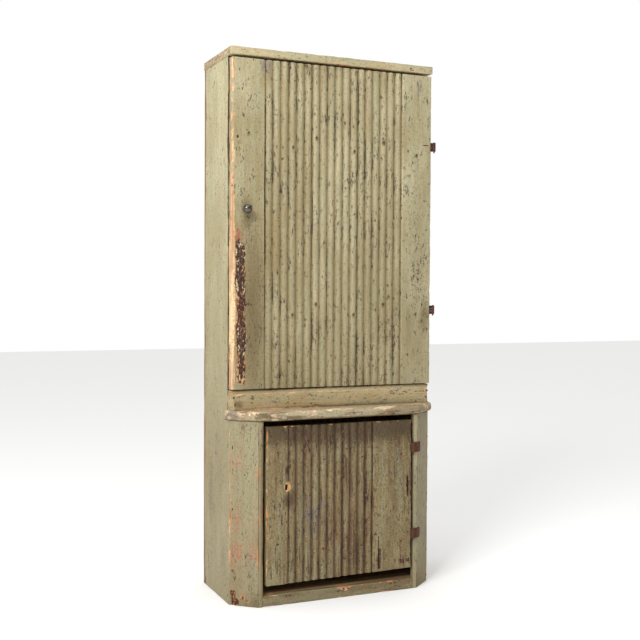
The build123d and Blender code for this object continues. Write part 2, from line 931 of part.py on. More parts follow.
# ---------------------------------------------------------------- reeded door boards
def reeded_board(x_span, reeds_from, reed_count, y_span, z_span):
    """A board with convex reeds between flat margins; each reed's crest is level with the flats."""
    front, back = y_span
    valley = front + reed_depth
    reeds_to = reeds_from + reed_count * reed_pitch
    left_edge = [(x_span[0], back)]
    if reeds_from - x_span[0] > reed_quirk:
        left_edge += [(x_span[0], front), (reeds_from - reed_quirk, front)]
    left_edge.append((reeds_from, valley))
    right_edge = [(reeds_to, valley)]
    if x_span[1] - reeds_to > reed_quirk:
        right_edge += [(reeds_to + reed_quirk, front), (x_span[1], front)]
    right_edge.append((x_span[1], back))
    with BuildPart() as board:
        with BuildSketch(Plane.XY.offset(z_span[0])):
            with BuildLine():
                Polyline(*left_edge)
                for reed in range(reed_count):
                    start = reeds_from + reed * reed_pitch
                    ThreePointArc(
                        (start, valley), (start + reed_pitch / 2, front), (start + reed_pitch, valley)
                    )
                Polyline(*right_edge)
                Line(right_edge[-1], left_edge[0])
            make_face()
        extrude(amount=z_span[1] - z_span[0])
    return board


def batten(half_length, front, mid, width, *drivers):
    """A batten across a door's back, with its inside corners eased."""
    strip = sawn(
        (-half_length, half_length),
        (front, front + batten_thickness),
        (mid - width / 2, mid + width / 2),
    )
    with BuildPart() as eased:
        add(strip.part)
        chamfer(eased.faces().sort_by(Axis.Y)[-1].edges(), batten_ease)
    return bored(eased, *drivers)


upper_seams = (
    -door_half,
    *[
        reed_band_left + index * reeds_per_board * reed_pitch
        for index in range(1, upper_board_count)
    ],
    door_half,
)
upper_leaves = [parts["door_leaf"] for parts in upper_hinge_parts.values()]
for index in range(upper_board_count):
    board = reeded_board(
        upper_seams[index : index + 2],
        reed_band_left + index * reeds_per_board * reed_pitch,
        reeds_per_board,
        (door_front_y, door_back_y),
        (door_bottom, door_top),
    )
    drivers = [upper_door_nails]
    if index == 0:
        with BuildPart() as rounded:
            add(board.part)
            outer_face = rounded.faces().sort_by(Axis.X)[0]
            free_arris = outer_face.edges().filter_by(Axis.Z).sort_by(Axis.Y)[0]
            fillet(free_arris, door_free_arris)
        board = rounded
        drivers.append(spindle_way)
    if index == upper_board_count - 1:
        drivers += [*upper_leaves, upper_leaf_screws]
    keep(bored(board, *drivers), f"upper_door_board_{index + 1}")

for place, mid in zip(hinge_places, upper_batten_heights):
    piece = batten(
        door_half - upper_batten_inset, door_back_y, mid, upper_batten_width, upper_door_nails
    )
    keep(piece, f"upper_door_batten_{place}")

lower_rise_angle = atan2(lower_door_rise, 2 * lower_door_half)
lower_foot_cut = Plane(
    origin=(-lower_door_half, lower_door_front_y, lower_door_bottom),
    x_dir=(cos(lower_rise_angle), 0, sin(lower_rise_angle)),
    z_dir=(-sin(lower_rise_angle), 0, cos(lower_rise_angle)),
)
lower_seams = (-lower_door_half, lower_left_seam, lower_right_seam, lower_door_half)
lower_leaves = [parts["door_leaf"] for parts in lower_hinge_parts.values()]
lower_boards = (
    (lower_reeds_from, lower_left_reeds),
    (lower_left_seam, lower_middle_reeds),
    (lower_right_seam, lower_right_reeds),
)
for index, (reeds_from, reed_count) in enumerate(lower_boards):
    board = reeded_board(
        lower_seams[index : index + 2],
        reeds_from,
        reed_count,
        (lower_door_front_y, lower_door_back_y),
        (lower_door_bottom, lower_door_top),
    )
    with BuildPart() as footed:
        add(board.part)
        split(bisect_by=lower_foot_cut, keep=Keep.TOP)
    drivers = [lower_door_nails]
    if index == 0:
        drivers += [keyhole, lock_screws]
    if index == 2:
        drivers += [*lower_leaves, lower_leaf_screws]
    keep(bored(footed, *drivers), f"lower_door_board_{index + 1}")

for place, mid in zip(hinge_places, lower_batten_heights):
    piece = batten(
        lower_door_half - lower_batten_inset,
        lower_door_back_y,
        mid,
        lower_batten_width,
        lower_door_nails,
    )
    keep(piece, f"lower_door_batten_{place}")

# ---------------------------------------------------------------- ironwork and fasteners
for door, parts, leaf_screws, case_screws in (
    ("upper", upper_hinge_parts, upper_leaf_screws, upper_case_screws),
    ("lower", lower_hinge_parts, lower_leaf_screws, lower_case_screws),
):
    for place in hinge_places:
        keep(bored(parts[place]["case_leaf"], case_screws), f"{door}_hinge_{place}_case_leaf")
        keep(bored(parts[place]["door_leaf"], leaf_screws), f"{door}_hinge_{place}_door_leaf")
    with BuildPart() as pins:
        for place in hinge_places:
            add(parts[place]["pin"].part)
    keep(pins, f"{door}_hinge_pins")

keep(knob, "knob")
keep(knob_spindle, "knob_spindle")
keep(latch_bar, "latch_bar")
keep(latch_keeper, "latch_keeper")
keep(bored(lock_case, lock_screws), "lock_case")
keep(lock_bolt, "lock_bolt")
keep(strike_plate, "strike_plate")
keep(top_nails, "top_nails")
keep(front_nails, "front_nails")
keep(back_nails, "back_nails")
keep(hinge_screws, "hinge_screws")
keep(upper_door_nails, "upper_door_nails")
keep(upper_leaf_screws, "upper_door_screws")
keep(lower_door_nails, "lower_door_nails")
keep(lower_door_screws, "lower_door_screws")
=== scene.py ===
"""Looks of a step-front pantry cabinet: old painted boards, worn arrises and rusty iron.

Every piece takes its place from the cabinet's own frame. Lengths are metres, +Z is up and the
doors face -Y.
"""

import logging
from dataclasses import dataclass
from enum import Enum
from math import atan2, cos, pi, radians, sin, sqrt, tan
from typing import Any, Callable, Sequence, Union

import bmesh
import bpy
import numpy as np
from mathutils import Matrix, Vector


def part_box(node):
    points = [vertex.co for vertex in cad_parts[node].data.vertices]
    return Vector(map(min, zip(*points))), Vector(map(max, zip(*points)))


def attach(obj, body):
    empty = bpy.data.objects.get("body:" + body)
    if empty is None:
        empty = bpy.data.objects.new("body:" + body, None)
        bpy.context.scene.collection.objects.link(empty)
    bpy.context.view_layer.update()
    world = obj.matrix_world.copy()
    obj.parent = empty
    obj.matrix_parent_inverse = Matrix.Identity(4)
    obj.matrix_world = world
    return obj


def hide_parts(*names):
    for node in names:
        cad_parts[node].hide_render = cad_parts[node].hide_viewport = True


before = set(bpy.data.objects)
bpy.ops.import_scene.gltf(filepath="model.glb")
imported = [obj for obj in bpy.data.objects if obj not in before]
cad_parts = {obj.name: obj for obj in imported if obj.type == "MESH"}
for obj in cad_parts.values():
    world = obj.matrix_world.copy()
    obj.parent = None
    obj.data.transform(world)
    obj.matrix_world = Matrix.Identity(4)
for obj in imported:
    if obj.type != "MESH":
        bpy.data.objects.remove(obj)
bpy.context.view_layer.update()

logging.basicConfig(level=logging.INFO, format="%(levelname)s %(message)s")
log = logging.getLogger("pantry_cabinet")

Colour = tuple[float, float, float, float]
Link = Union["Shade", bpy.types.NodeSocket, float, Sequence[float]]
Span = tuple[float, float]

MM = 0.001


class Grain(Enum):
    """The axis that a board's grain runs along."""

    X = 0
    Y = 1
    Z = 2


class Mark(Enum):
    """What can lie on a painted board in one place, each held as a number over its surface; the groove,
    damp and soot marks carry painted shade as well as real marks.
    """

    WEAR = "wear"
    GROOVE = "groove"
    SOOT = "soot"
    BARE = "bare"
    FLECK = "fleck"
    DAMP = "damp"
    SLATE = "slate"
    PLANK = "plank"


def tint(red: int, green: int, blue: int) -> Colour:
    """Turns a display colour, 0 to 255 a channel, into the linear colour that shaders take.

    Args:
        red: Red as a screen shows it.
        green: Green as a screen shows it.
        blue: Blue as a screen shows it.

    Returns:
        The linear colour with full alpha.
    """
    linear = [((channel / 255 + 0.055) / 1.055) ** 2.4 for channel in (red, green, blue)]
    return (linear[0], linear[1], linear[2], 1.0)


# ---------------------------------------------------------------- shader toolkit
class Shade:
    """A number that varies over a surface; arithmetic on it adds Math nodes."""

    def __init__(self, bench: "Bench", socket: bpy.types.NodeSocket) -> None:
        """Wraps one output socket of a bench's material."""
        self.bench = bench
        self.socket = socket

    def __add__(self, other: Link) -> "Shade":
        """Sum of two numbers."""
        return self.bench.sum("ADD", self, other)

    def __radd__(self, other: Link) -> "Shade":
        """Sum, with a plain number on the left."""
        return self.bench.sum("ADD", other, self)

    def __sub__(self, other: Link) -> "Shade":
        """Difference of two numbers."""
        return self.bench.sum("SUBTRACT", self, other)

    def __rsub__(self, other: Link) -> "Shade":
        """Difference, with a plain number on the left."""
        return self.bench.sum("SUBTRACT", other, self)

    def __mul__(self, other: Link) -> "Shade":
        """Product of two numbers."""
        return self.bench.sum("MULTIPLY", self, other)

    def __rmul__(self, other: Link) -> "Shade":
        """Product, with a plain number on the left."""
        return self.bench.sum("MULTIPLY", other, self)

    def rise(self, low: float, high: float) -> "Shade":
        """A soft step that is 0 below low and 1 above high.

        Args:
            low: Where the step starts.
            high: Where the step is complete.

        Returns:
            The stepped number.
        """
        node = self.bench.node(
            "ShaderNodeMapRange",
            {"interpolation_type": "SMOOTHSTEP"},
            {"Value": self, "From Min": low, "From Max": high},
        )
        return Shade(self.bench, node.outputs["Result"])


class Bench:
    """One material under construction, with the few ways its nodes are made and joined."""

    def __init__(self, name: str) -> None:
        """Starts an empty material of that name."""
        self.material = bpy.data.materials.new(name)
        self.material.use_nodes = True
        self.tree = self.material.node_tree
        self.tree.nodes.clear()

    def node(
        self,
        kind: str,
        settings: dict[str, Any] | None = None,
        sockets: dict[str | int, Link] | None = None,
    ) -> bpy.types.Node:
        """Makes a node, sets it up, then fills or links its input sockets.

        Args:
            kind: The node's type.
            settings: Its own settings, which are set first.
            sockets: Values or links for its inputs, by name or number.

        Returns:
            The finished node.
        """
        made = self.tree.nodes.new(kind)
        for key, value in (settings or {}).items():
            setattr(made, key, value)
        for key, value in (sockets or {}).items():
            if isinstance(value, Shade):
                self.tree.links.new(value.socket, made.inputs[key])
            elif isinstance(value, bpy.types.NodeSocket):
                self.tree.links.new(value, made.inputs[key])
            else:
                made.inputs[key].default_value = value
        return made

    def sum(self, operation: str, first: Link, second: Link) -> Shade:
        """One Math node on two numbers.

        Args:
            operation: The Math node's operation.
            first: Left operand.
            second: Right operand.

        Returns:
            The result.
        """
        made = self.node("ShaderNodeMath", {"operation": operation}, {0: first, 1: second})
        return Shade(self, made.outputs[0])

    def blend(self, share: Link, under: Link, over: Link) -> bpy.types.NodeSocket:
        """Mixes two colours.

        Args:
            share: How much of the upper colour covers the lower, 0 to 1.
            under: The lower colour.
            over: The upper colour.

        Returns:
            The mixed colour's socket.
        """
        made = self.node("ShaderNodeMix", {"data_type": "RGBA"}, {0: share, 6: under, 7: over})
        return made.outputs[2]

    def mark(self, mark: Mark) -> Shade:
        """Reads one of the marks that the boards carry."""
        made = self.node("ShaderNodeAttribute", {"attribute_name": mark.value})
        return Shade(self, made.outputs["Fac"])

    def place(self) -> bpy.types.NodeSocket:
        """Where a point is on the object, shifted from board to board so no grain repeats."""
        own = self.node("ShaderNodeTexCoord").outputs["Object"]
        plank = self.node("ShaderNodeAttribute", {"attribute_name": Mark.PLANK.value})
        moved = self.node(
            "ShaderNodeVectorMath", {"operation": "ADD"}, {0: own, 1: plank.outputs["Vector"]}
        )
        return moved.outputs[0]

    def drawn_out(
        self, place: bpy.types.NodeSocket, grain: Grain, ratio: float
    ) -> bpy.types.NodeSocket:
        """Stretches a pattern along the grain.

        Args:
            place: The coordinates to stretch.
            grain: The axis that the grain runs along.
            ratio: Size across the grain over size along it.

        Returns:
            The stretched coordinates' socket.
        """
        scale = [1.0, 1.0, 1.0]
        scale[grain.value] = ratio
        made = self.node(
            "ShaderNodeVectorMath", {"operation": "MULTIPLY"}, {0: place, 1: tuple(scale)}
        )
        return made.outputs[0]

    def noise(
        self, place: bpy.types.NodeSocket, scale: float, detail: float, rough: float
    ) -> Shade:
        """Cloudy noise around one half.

        Args:
            place: Coordinates to read it at.
            scale: Features per metre.
            detail: Octaves of finer noise.
            rough: Strength of the finer octaves.

        Returns:
            The noise.
        """
        made = self.node(
            "ShaderNodeTexNoise",
            {},
            {"Vector": place, "Scale": scale, "Detail": detail, "Roughness": rough},
        )
        return Shade(self, made.outputs[0])

    def specks(self, place: bpy.types.NodeSocket, scale: float, size: float) -> Shade:
        """Small separate dots, one to a cell, each with a size of its own.

        Args:
            place: Coordinates to read them at.
            scale: Cells per metre.
            size: Radius of the largest dot, in cells.

        Returns:
            A mask that is 1 on the dots.
        """
        cells = self.node("ShaderNodeTexVoronoi", {"feature": "F1"}, {"Vector": place, "Scale": scale})
        parts = self.node("ShaderNodeSeparateColor", {}, {0: cells.outputs["Color"]})
        chance = Shade(self, parts.outputs[0])
        distance = Shade(self, cells.outputs["Distance"])
        return (chance * chance * size - distance).rise(0.0, size * 0.35)

    def finish(
        self, colour: Link, rough: Link, height: Shade, depth: float, metal: float = 0.0
    ) -> bpy.types.Material:
        """Joins everything to the surface shader.

        Args:
            colour: Base colour.
            rough: Roughness.
            height: Relief, 0 to 1.
            depth: What a height of 1 stands for, in metres.
            metal: Metallic, the same all over.

        Returns:
            The finished material.
        """
        relief = self.node("ShaderNodeBump", {}, {"Height": height, "Distance": depth})
        surface = self.node(
            "ShaderNodeBsdfPrincipled",
            {},
            {
                "Base Color": colour,
                "Roughness": rough,
                "Metallic": metal,
                "Normal": relief.outputs["Normal"],
                "Specular IOR Level": 0.3,
            },
        )
        self.node("ShaderNodeOutputMaterial", {}, {"Surface": surface.outputs["BSDF"]})
        return self.material


# ---------------------------------------------------------------- finishes
@dataclass(frozen=True)
class Paint:
    """Old oil paint on a softwood board, dirty and painted with shade in its hollows, and worn through on
    its arrises.
    """

    name: str
    grain: Grain
    light: Colour = tint(196, 187, 152)
    dark: Colour = tint(160, 147, 110)
    sage: Colour = tint(170, 169, 136)
    chalk: Colour = tint(220, 209, 172)
    grime_and_shade: Colour = tint(98, 80, 46)
    hollow_dirt_and_shade: Colour = tint(124, 104, 66)
    deep: Colour = tint(44, 32, 26)
    char: Colour = tint(92, 56, 42)
    wood: Colour = tint(236, 204, 158)
    rose: Colour = tint(206, 164, 136)
    orange: Colour = tint(186, 126, 80)
    brick: Colour = tint(158, 92, 66)
    ember: Colour = tint(206, 140, 82)
    smoke: Colour = tint(124, 116, 110)
    thread: Colour = tint(92, 60, 38)
    thread_share: float = 0.0
    ember_share: float = 0.85
    sage_share: float = 0.5
    mottle: float = 0.42
    streak_dirt: float = 0.45
    groove_dirt_and_shade_share: float = 0.72
    speck_share: float = 0.85
    speck_gate: float = 0.52
    worn_at: float = 0.68
    floorward_darkening: float = 0.36
    foot_height: float = 2.0

    def dress(self) -> bpy.types.Material:
        """Builds the material.

        Returns:
            The painted wood.
        """
        bench = Bench(self.name)
        place = bench.place()
        long_place = bench.drawn_out(place, self.grain, 0.4)
        streak_place = bench.drawn_out(place, self.grain, 0.06)
        hair_place = bench.drawn_out(place, self.grain, 0.035)
        broad = bench.noise(place, 2.2, 3.0, 0.5)
        cloud = bench.noise(long_place, 12.0, 6.0, 0.62)
        clump = bench.noise(long_place, 24.0, 5.0, 0.6)
        coat = bench.noise(bench.drawn_out(place, self.grain, 0.12), 34.0, 6.0, 0.6)
        streak = bench.noise(streak_place, 110.0, 6.0, 0.62)
        hair = bench.noise(hair_place, 400.0, 4.0, 0.6)
        mottle = bench.noise(place, 130.0, 7.0, 0.72)
        grit = bench.noise(place, 330.0, 6.0, 0.72)
        flake = bench.noise(long_place, 110.0, 8.0, 0.72)
        fine = bench.noise(long_place, 165.0, 7.0, 0.72)

        tone = broad * 0.25 + cloud * 0.3 + mottle * 0.3 + streak * 0.15
        colour = bench.blend(tone.rise(0.40, 0.60), self.dark, self.light)
        colour = bench.blend(coat.rise(0.47, 0.60) * self.sage_share, colour, self.sage)
        colour = bench.blend(mottle.rise(0.50, 0.60) * self.mottle, colour, self.grime_and_shade)
        colour = bench.blend(grit.rise(0.53, 0.62) * self.mottle * 0.7, colour, self.chalk)
        colour = bench.blend(self.foot(bench) * self.floorward_darkening, colour, self.grime_and_shade)
        hairline = hair.rise(0.53, 0.68) * streak.rise(0.42, 0.60)
        colour = bench.blend(hairline * self.streak_dirt, colour, self.grime_and_shade)
        threads = streak.rise(0.545, 0.60) * clump.rise(0.40, 0.60) * self.thread_share
        colour = bench.blend(threads, colour, self.thread)
        pale = (1.0 - streak.rise(0.40, 0.45)) * mottle.rise(0.45, 0.55) * self.thread_share
        colour = bench.blend(pale * 0.7, colour, self.light)
        # Damp mark: real water and rust stains, and painted shadow and shade where boards sit under the
        # nose or the top board.
        damp = bench.mark(Mark.DAMP) * 1.1 + (cloud - 0.5) * 0.9 + (mottle - 0.5) * 0.8
        colour = bench.blend(damp.rise(0.25, 0.95) * 0.8, colour, self.grime_and_shade)
        slate = bench.mark(Mark.SLATE) + (flake - 0.5) * 3.0 + (clump - 0.5) * 2.0
        slate = slate.rise(0.35, 0.8)
        colour = bench.blend(slate * 0.8, colour, self.smoke)
        # Painted shade with real dirt: reed valleys and other hollows turn earth-coloured with a deep
        # core, as wide as the shaded flanks of the reeds.
        groove = bench.mark(Mark.GROOVE)
        groove_dirt_and_shade_mask = (groove * 0.95 + (clump - 0.5) * 1.1 + (mottle - 0.5) * 0.9).rise(0.12, 0.95)
        colour = bench.blend(groove_dirt_and_shade_mask * self.groove_dirt_and_shade_share, colour, self.hollow_dirt_and_shade)
        groove_core_dirt_and_shade = (groove + (streak - 0.5) * 2.2 + (clump - 0.5) * 1.6).rise(1.02, 1.22)
        colour = bench.blend(groove_core_dirt_and_shade * 0.75, colour, self.deep)

        gate = clump.rise(self.speck_gate - 0.05, self.speck_gate + 0.07)
        pepper = (fine + groove * 0.03).rise(0.555, 0.592) * gate
        pits = (flake + groove * 0.03).rise(0.612, 0.632)
        specks = pepper * 0.8 + pits
        colour = bench.blend(specks.rise(0.1, 1.0) * self.speck_share, colour, self.deep)

        fleck = (bench.mark(Mark.FLECK) * 0.5 + (mottle - 0.5) * 3.2).rise(0.48, 0.56)
        colour = bench.blend(fleck * 0.85, colour, self.brick)

        bare_mark = bench.mark(Mark.BARE)
        ragged = (flake - 0.5) * 1.3 + (clump - 0.5) * 1.5
        wear = bench.mark(Mark.WEAR) * 0.55 + bare_mark * 0.95 + ragged
        rim = wear.rise(self.worn_at - 0.10, self.worn_at)
        worn = wear.rise(self.worn_at, self.worn_at + 0.07)
        bare = bench.blend(clump.rise(0.42, 0.58) * 0.75, self.wood, self.rose)
        bare = bench.blend(streak.rise(0.47, 0.60) * (1.05 - bare_mark * 0.55), bare, self.orange)
        bare = bench.blend(mottle.rise(0.52, 0.60) * 0.55, bare, self.orange)
        bare = bench.blend(hair.rise(0.55, 0.68) * 0.5, bare, self.grime_and_shade)
        colour = bench.blend(rim * 0.5, colour, self.orange)
        colour = bench.blend(worn, colour, bare)

        # Soot mark: real scorch, rot and dark joints, and painted shade in splits, holes, the keyhole and
        # under the nose.
        soot_and_shade_mark = bench.mark(Mark.SOOT)
        soot = (soot_and_shade_mark * 1.1 + (flake - 0.5) * 2.0 + (clump - 0.5) * 1.6).rise(0.50, 0.62)
        crust = bench.blend(mottle.rise(0.44, 0.60), self.deep, self.char)
        colour = bench.blend(soot, colour, crust)
        embers = soot_and_shade_mark.rise(0.2, 0.6) * (1.0 - soot_and_shade_mark.rise(1.0, 1.3))
        embers = embers * fine.rise(0.53, 0.57)
        spark = bench.blend(clump.rise(0.45, 0.55), self.ember, self.wood)
        colour = bench.blend(embers * self.ember_share, colour, spark)

        height = 0.55 - worn * 0.3 - soot * 0.25 + streak * 0.2 + mottle * 0.25 + grit * 0.12
        height = height - specks * 0.3 - fleck * 0.2 - hairline * 0.2
        rough = 0.50 + mottle * 0.25 + worn * 0.12
        return bench.finish(colour, rough, height, 1.0 * MM)

    def foot(self, bench: Bench) -> Shade:
        """Darker towards the floor."""
        own = bench.node("ShaderNodeTexCoord").outputs["Object"]
        parts = bench.node("ShaderNodeSeparateXYZ", {}, {0: own})
        return 1.0 - Shade(bench, parts.outputs[2]).rise(0.0, self.foot_height)


@dataclass(frozen=True)
class RawWood:
    """Unpainted old softwood: sawn backs, shelves and the end grain of the boards."""

    name: str
    grain: Grain
    light: Colour = tint(190, 156, 114)
    dark: Colour = tint(150, 115, 77)
    stain: Colour = tint(84, 63, 45)
    ring_scale: float = 38.0
    ring_ratio: float = 0.05

    def dress(self) -> bpy.types.Material:
        """Builds the material.

        Returns:
            The bare wood.
        """
        bench = Bench(self.name)
        place = bench.place()
        ring_place = bench.drawn_out(place, self.grain, self.ring_ratio)
        rings = bench.noise(ring_place, self.ring_scale, 5.0, 0.6)
        fibre = bench.noise(bench.drawn_out(place, self.grain, 0.02), 500.0, 4.0, 0.65)
        patch = bench.noise(bench.drawn_out(place, self.grain, 0.3), 7.0, 6.0, 0.66)
        grit = bench.noise(place, 300.0, 5.0, 0.7)
        colour = bench.blend(rings.rise(0.40, 0.62), self.light, self.dark)
        colour = bench.blend(fibre.rise(0.52, 0.66) * 0.5, colour, self.dark)
        colour = bench.blend(patch.rise(0.46, 0.74) * 0.42, colour, self.stain)
        dots = bench.specks(place, 60.0, 0.3)
        colour = bench.blend(dots * 0.7, colour, self.stain)
        # Darker where the groove mark lies; on the side boards' ends this is painted shade along the front
        # edge.
        edge = bench.mark(Mark.GROOVE).rise(0.2, 0.9)
        colour = bench.blend(edge * 0.7, colour, self.stain)
        height = rings * 0.3 + fibre * 0.5 + grit * 0.2
        return bench.finish(colour, 0.66 + grit * 0.2, height, 0.7 * MM)


@dataclass(frozen=True)
class Iron:
    """Wrought iron, from dark and handled to thick with rust."""

    name: str
    face: Colour = tint(64, 58, 56)
    rust: Colour = tint(112, 66, 46)
    bloom: Colour = tint(150, 92, 62)
    rust_share: float = 0.5
    polish: float = 0.45
    metal: float = 0.6

    def dress(self) -> bpy.types.Material:
        """Builds the material.

        Returns:
            The iron.
        """
        bench = Bench(self.name)
        place = bench.place()
        cloud = bench.noise(place, 90.0, 6.0, 0.65)
        grit = bench.noise(place, 520.0, 6.0, 0.72)
        scale = bench.noise(place, 1400.0, 4.0, 0.6)
        rusty = (cloud + self.rust_share - 0.5).rise(0.42, 0.62)
        colour = bench.blend(rusty, self.face, self.rust)
        colour = bench.blend((grit * self.rust_share * 1.6).rise(0.45, 0.65), colour, self.bloom)
        pits = grit.rise(0.62, 0.70)
        colour = bench.blend(pits * 0.6, colour, tint(30, 22, 20))
        height = grit * 0.6 + scale * 0.3 + rusty * 0.3
        rough = self.polish + rusty * 0.3 + grit * 0.12
        return bench.finish(colour, rough, height, 0.35 * MM, self.metal)


@dataclass(frozen=True)
class StudioFloor:
    """A plain pale painted floor."""

    name: str = "studio_floor"
    colour: Colour = (0.93, 0.93, 0.92, 1.0)

    def dress(self) -> bpy.types.Material:
        """Builds the material.

        Returns:
            The pale floor.
        """
        bench = Bench(self.name)
        place = bench.place()
        cloud = bench.noise(place, 1.5, 2.0, 0.5)
        colour = bench.blend(cloud * 0.06, self.colour, (0.86, 0.86, 0.85, 1.0))
        return bench.finish(colour, 0.8 + cloud * 0.1, cloud, 0.1 * MM)


Finish = Union[Paint, RawWood, Iron, StudioFloor]


class Stock:
    """Finishes that are already mixed, so each is made once."""

    def __init__(self) -> None:
        """Starts with none."""
        self.made: dict[str, bpy.types.Material] = {}

    def of(self, finish: Finish) -> bpy.types.Material:
        """The material of a finish, made the first time it is asked for."""
        if finish.name not in self.made:
            self.made[finish.name] = finish.dress()
        return self.made[finish.name]


STOCK = Stock()


# ---------------------------------------------------------------- mesh toolkit
WAVES = 12
ARC_STEPS = 5
ARRIS_REACH = 12 * MM
GUARDS = (2.5 * MM, 7 * MM, 14 * MM)


def ripple(points: np.ndarray, size: float, seed: int, octaves: int = 3) -> np.ndarray:
    """A smooth random field, mostly between -1 and 1, the same on every run.

    Args:
        points: Places to read it at, the last axis x, y, z.
        size: Length of its longest waves, in metres.
        seed: Which field.
        octaves: How many finer fields are laid over it.

    Returns:
        Its value at each place.
    """
    draw = np.random.default_rng(seed)
    total = np.zeros(points.shape[:-1])
    for octave in range(octaves):
        waves = draw.normal(size=(WAVES, 3)) * (2 * pi * 2**octave / size / sqrt(3))
        phases = draw.uniform(0, 2 * pi, WAVES)
        total += np.sin(points @ waves.T + phases).sum(-1) / sqrt(WAVES) / 2**octave
    return total / 1.1


def ease(value: np.ndarray, low: float, high: float) -> np.ndarray:
    """A soft step from 0 at low to 1 at high."""
    share = np.clip((value - low) / (high - low), 0, 1)
    return share * share * (3 - 2 * share)


@dataclass(frozen=True)
class Blot:
    """A soft-edged patch of some mark on a board."""

    mark: Mark
    centre: tuple[float, float, float]
    spread: tuple[float, float, float]
    amount: float = 1.0

    def over(self, points: np.ndarray) -> np.ndarray:
        """How strong the patch is at each point."""
        reach = (points - np.array(self.centre)) / np.array(self.spread)
        return self.amount * np.exp(-(reach**2).sum(-1))


@dataclass(frozen=True)
class Hollow:
    """A split, hole or slot sunk into a front face."""

    x: float
    low: float
    high: float
    half_width: float
    depth: float
    wander: float = 0.0

    def depth_over(self, points: np.ndarray, seed: int) -> np.ndarray:
        """How far the surface sinks at each point of a front face.

        Args:
            points: The face's points.
            seed: Its own random start.

        Returns:
            The depth at each point.
        """
        sway = ripple(points * np.array([0, 0, 1.0]), 0.12, seed) * self.wander
        across = 1 - ease(np.abs(points[..., 0] - self.x - sway), self.half_width * 0.4, self.half_width)
        margin = min(self.half_width * 4, (self.high - self.low) / 2)
        along = ease(points[..., 2], self.low, self.low + margin) * (
            1 - ease(points[..., 2], self.high - margin, self.high)
        )
        return across * along * self.depth

    def columns(self) -> list[float]:
        """Places across the board that the hollow needs points at."""
        reach = self.half_width + self.wander
        steps = (-1.3, -1.0, -0.7, -0.4, 0.0, 0.4, 0.7, 1.0, 1.3)
        return [self.x + step * reach for step in steps]

    def rows(self) -> list[float]:
        """Places along the board that the hollow needs points at."""
        margin = min(self.half_width * 4, (self.high - self.low) / 2)
        ends = (self.low, self.low + margin / 2, self.low + margin)
        return [*ends, self.high - margin, self.high - margin / 2, self.high]


@dataclass
class Ring:
    """A board's cross-section: its points, and how near each is to an arris or a groove's foot."""

    points: np.ndarray
    arris: np.ndarray
    groove: np.ndarray

    def inward(self) -> np.ndarray:
        """Unit vectors that point from each point into the board."""
        along = np.roll(self.points, -1, axis=0) - np.roll(self.points, 1, axis=0)
        across = np.stack([-along[:, 1], along[:, 0]], axis=1)
        across /= np.maximum(np.linalg.norm(across, axis=1, keepdims=True), 1e-9)
        following = np.roll(self.points, -1, axis=0)
        area = (self.points[:, 0] * following[:, 1] - following[:, 0] * self.points[:, 1]).sum()
        return across if area > 0 else -across


def corner_arc(before: np.ndarray, at: np.ndarray, after: np.ndarray, radius: float) -> np.ndarray:
    """Rounds one corner of an outline.

    Args:
        before: The corner before it.
        at: The corner.
        after: The corner after it.
        radius: Radius of the rounding.

    Returns:
        Points along the rounding, in order.
    """
    back = (before - at) / np.linalg.norm(before - at)
    ahead = (after - at) / np.linalg.norm(after - at)
    turn = pi - np.arccos(np.clip(back @ ahead, -1, 1))
    reach = radius * tan(turn / 2)
    start, end = at + back * reach, at + ahead * reach
    share = np.linspace(0, 1, ARC_STEPS)[:, None]
    return (1 - share) ** 2 * start + 2 * share * (1 - share) * at + share**2 * end


def outline(
    corners: Sequence[tuple[float, float]],
    radii: Union[float, Sequence[float]],
    spacing: float,
    first_edge: Sequence[float] = (),
) -> Ring:
    """Samples a closed outline with rounded corners, densely near each arris.

    Args:
        corners: The outline's corners, in order.
        radii: Radius of every corner, or of each.
        spacing: Distance between points on open faces.
        first_edge: Further places on the edge from the first corner, measured from that corner.

    Returns:
        The sampled cross-section.
    """
    places = [np.array(corner, float) for corner in corners]
    count = len(places)
    radius_list = [radii] * count if isinstance(radii, float) else list(radii)
    arcs = [
        corner_arc(places[index - 1], places[index], places[(index + 1) % count], radius_list[index])
        for index in range(count)
    ]
    points: list[np.ndarray] = []
    arris: list[float] = []
    for index, arc in enumerate(arcs):
        points += list(arc)
        arris += [1.0] * len(arc)
        start, end = arc[-1], arcs[(index + 1) % count][0]
        length = float(np.linalg.norm(end - start))
        inner = [guard for guard in GUARDS if guard < length * 0.45]
        marks = inner + [length - guard for guard in inner]
        marks += list(np.arange(spacing, length, spacing)) if spacing < length else [length / 2]
        if index == 0:
            offset = float(np.linalg.norm(start - places[0]))
            marks += [mark - offset for mark in first_edge]
        kept: list[float] = []
        for mark in sorted(marks):
            if 0.4 * MM < mark < length - 0.4 * MM and (not kept or mark - kept[-1] > 0.3 * MM):
                kept.append(mark)
        for mark in kept:
            points.append(start + (end - start) * mark / length)
            near = min(mark, length - mark)
            arris.append(max(0.0, 1 - near / ARRIS_REACH) ** 2)
    return Ring(np.array(points), np.array(arris), np.zeros(len(points)))


def stops(low: float, high: float, rounding: float, spacing: float, extra: Sequence[float]) -> np.ndarray:
    """Where a board's cross-sections lie along it, close together near its ends.

    Args:
        low: The board's first end.
        high: The board's second end.
        rounding: Radius of the arris round each end.
        spacing: Distance between cross-sections on the open length.
        extra: Further places that need one.

    Returns:
        The places in order.
    """
    near = [0.0, rounding * 0.12, rounding * 0.45, rounding, *(rounding + guard for guard in GUARDS)]
    ends = [low + step for step in near] + [high - step for step in near]
    inner = np.arange(low + near[-1] + spacing, high - near[-1] - spacing * 0.5, spacing)
    kept: list[float] = []
    for stop in sorted([*ends, *inner, *extra]):
        if not kept or stop - kept[-1] > 0.15 * MM:
            kept.append(float(stop))
    kept[-1] = high
    return np.array(kept)


Shaping = Callable[[np.ndarray, dict[Mark, np.ndarray]], None]


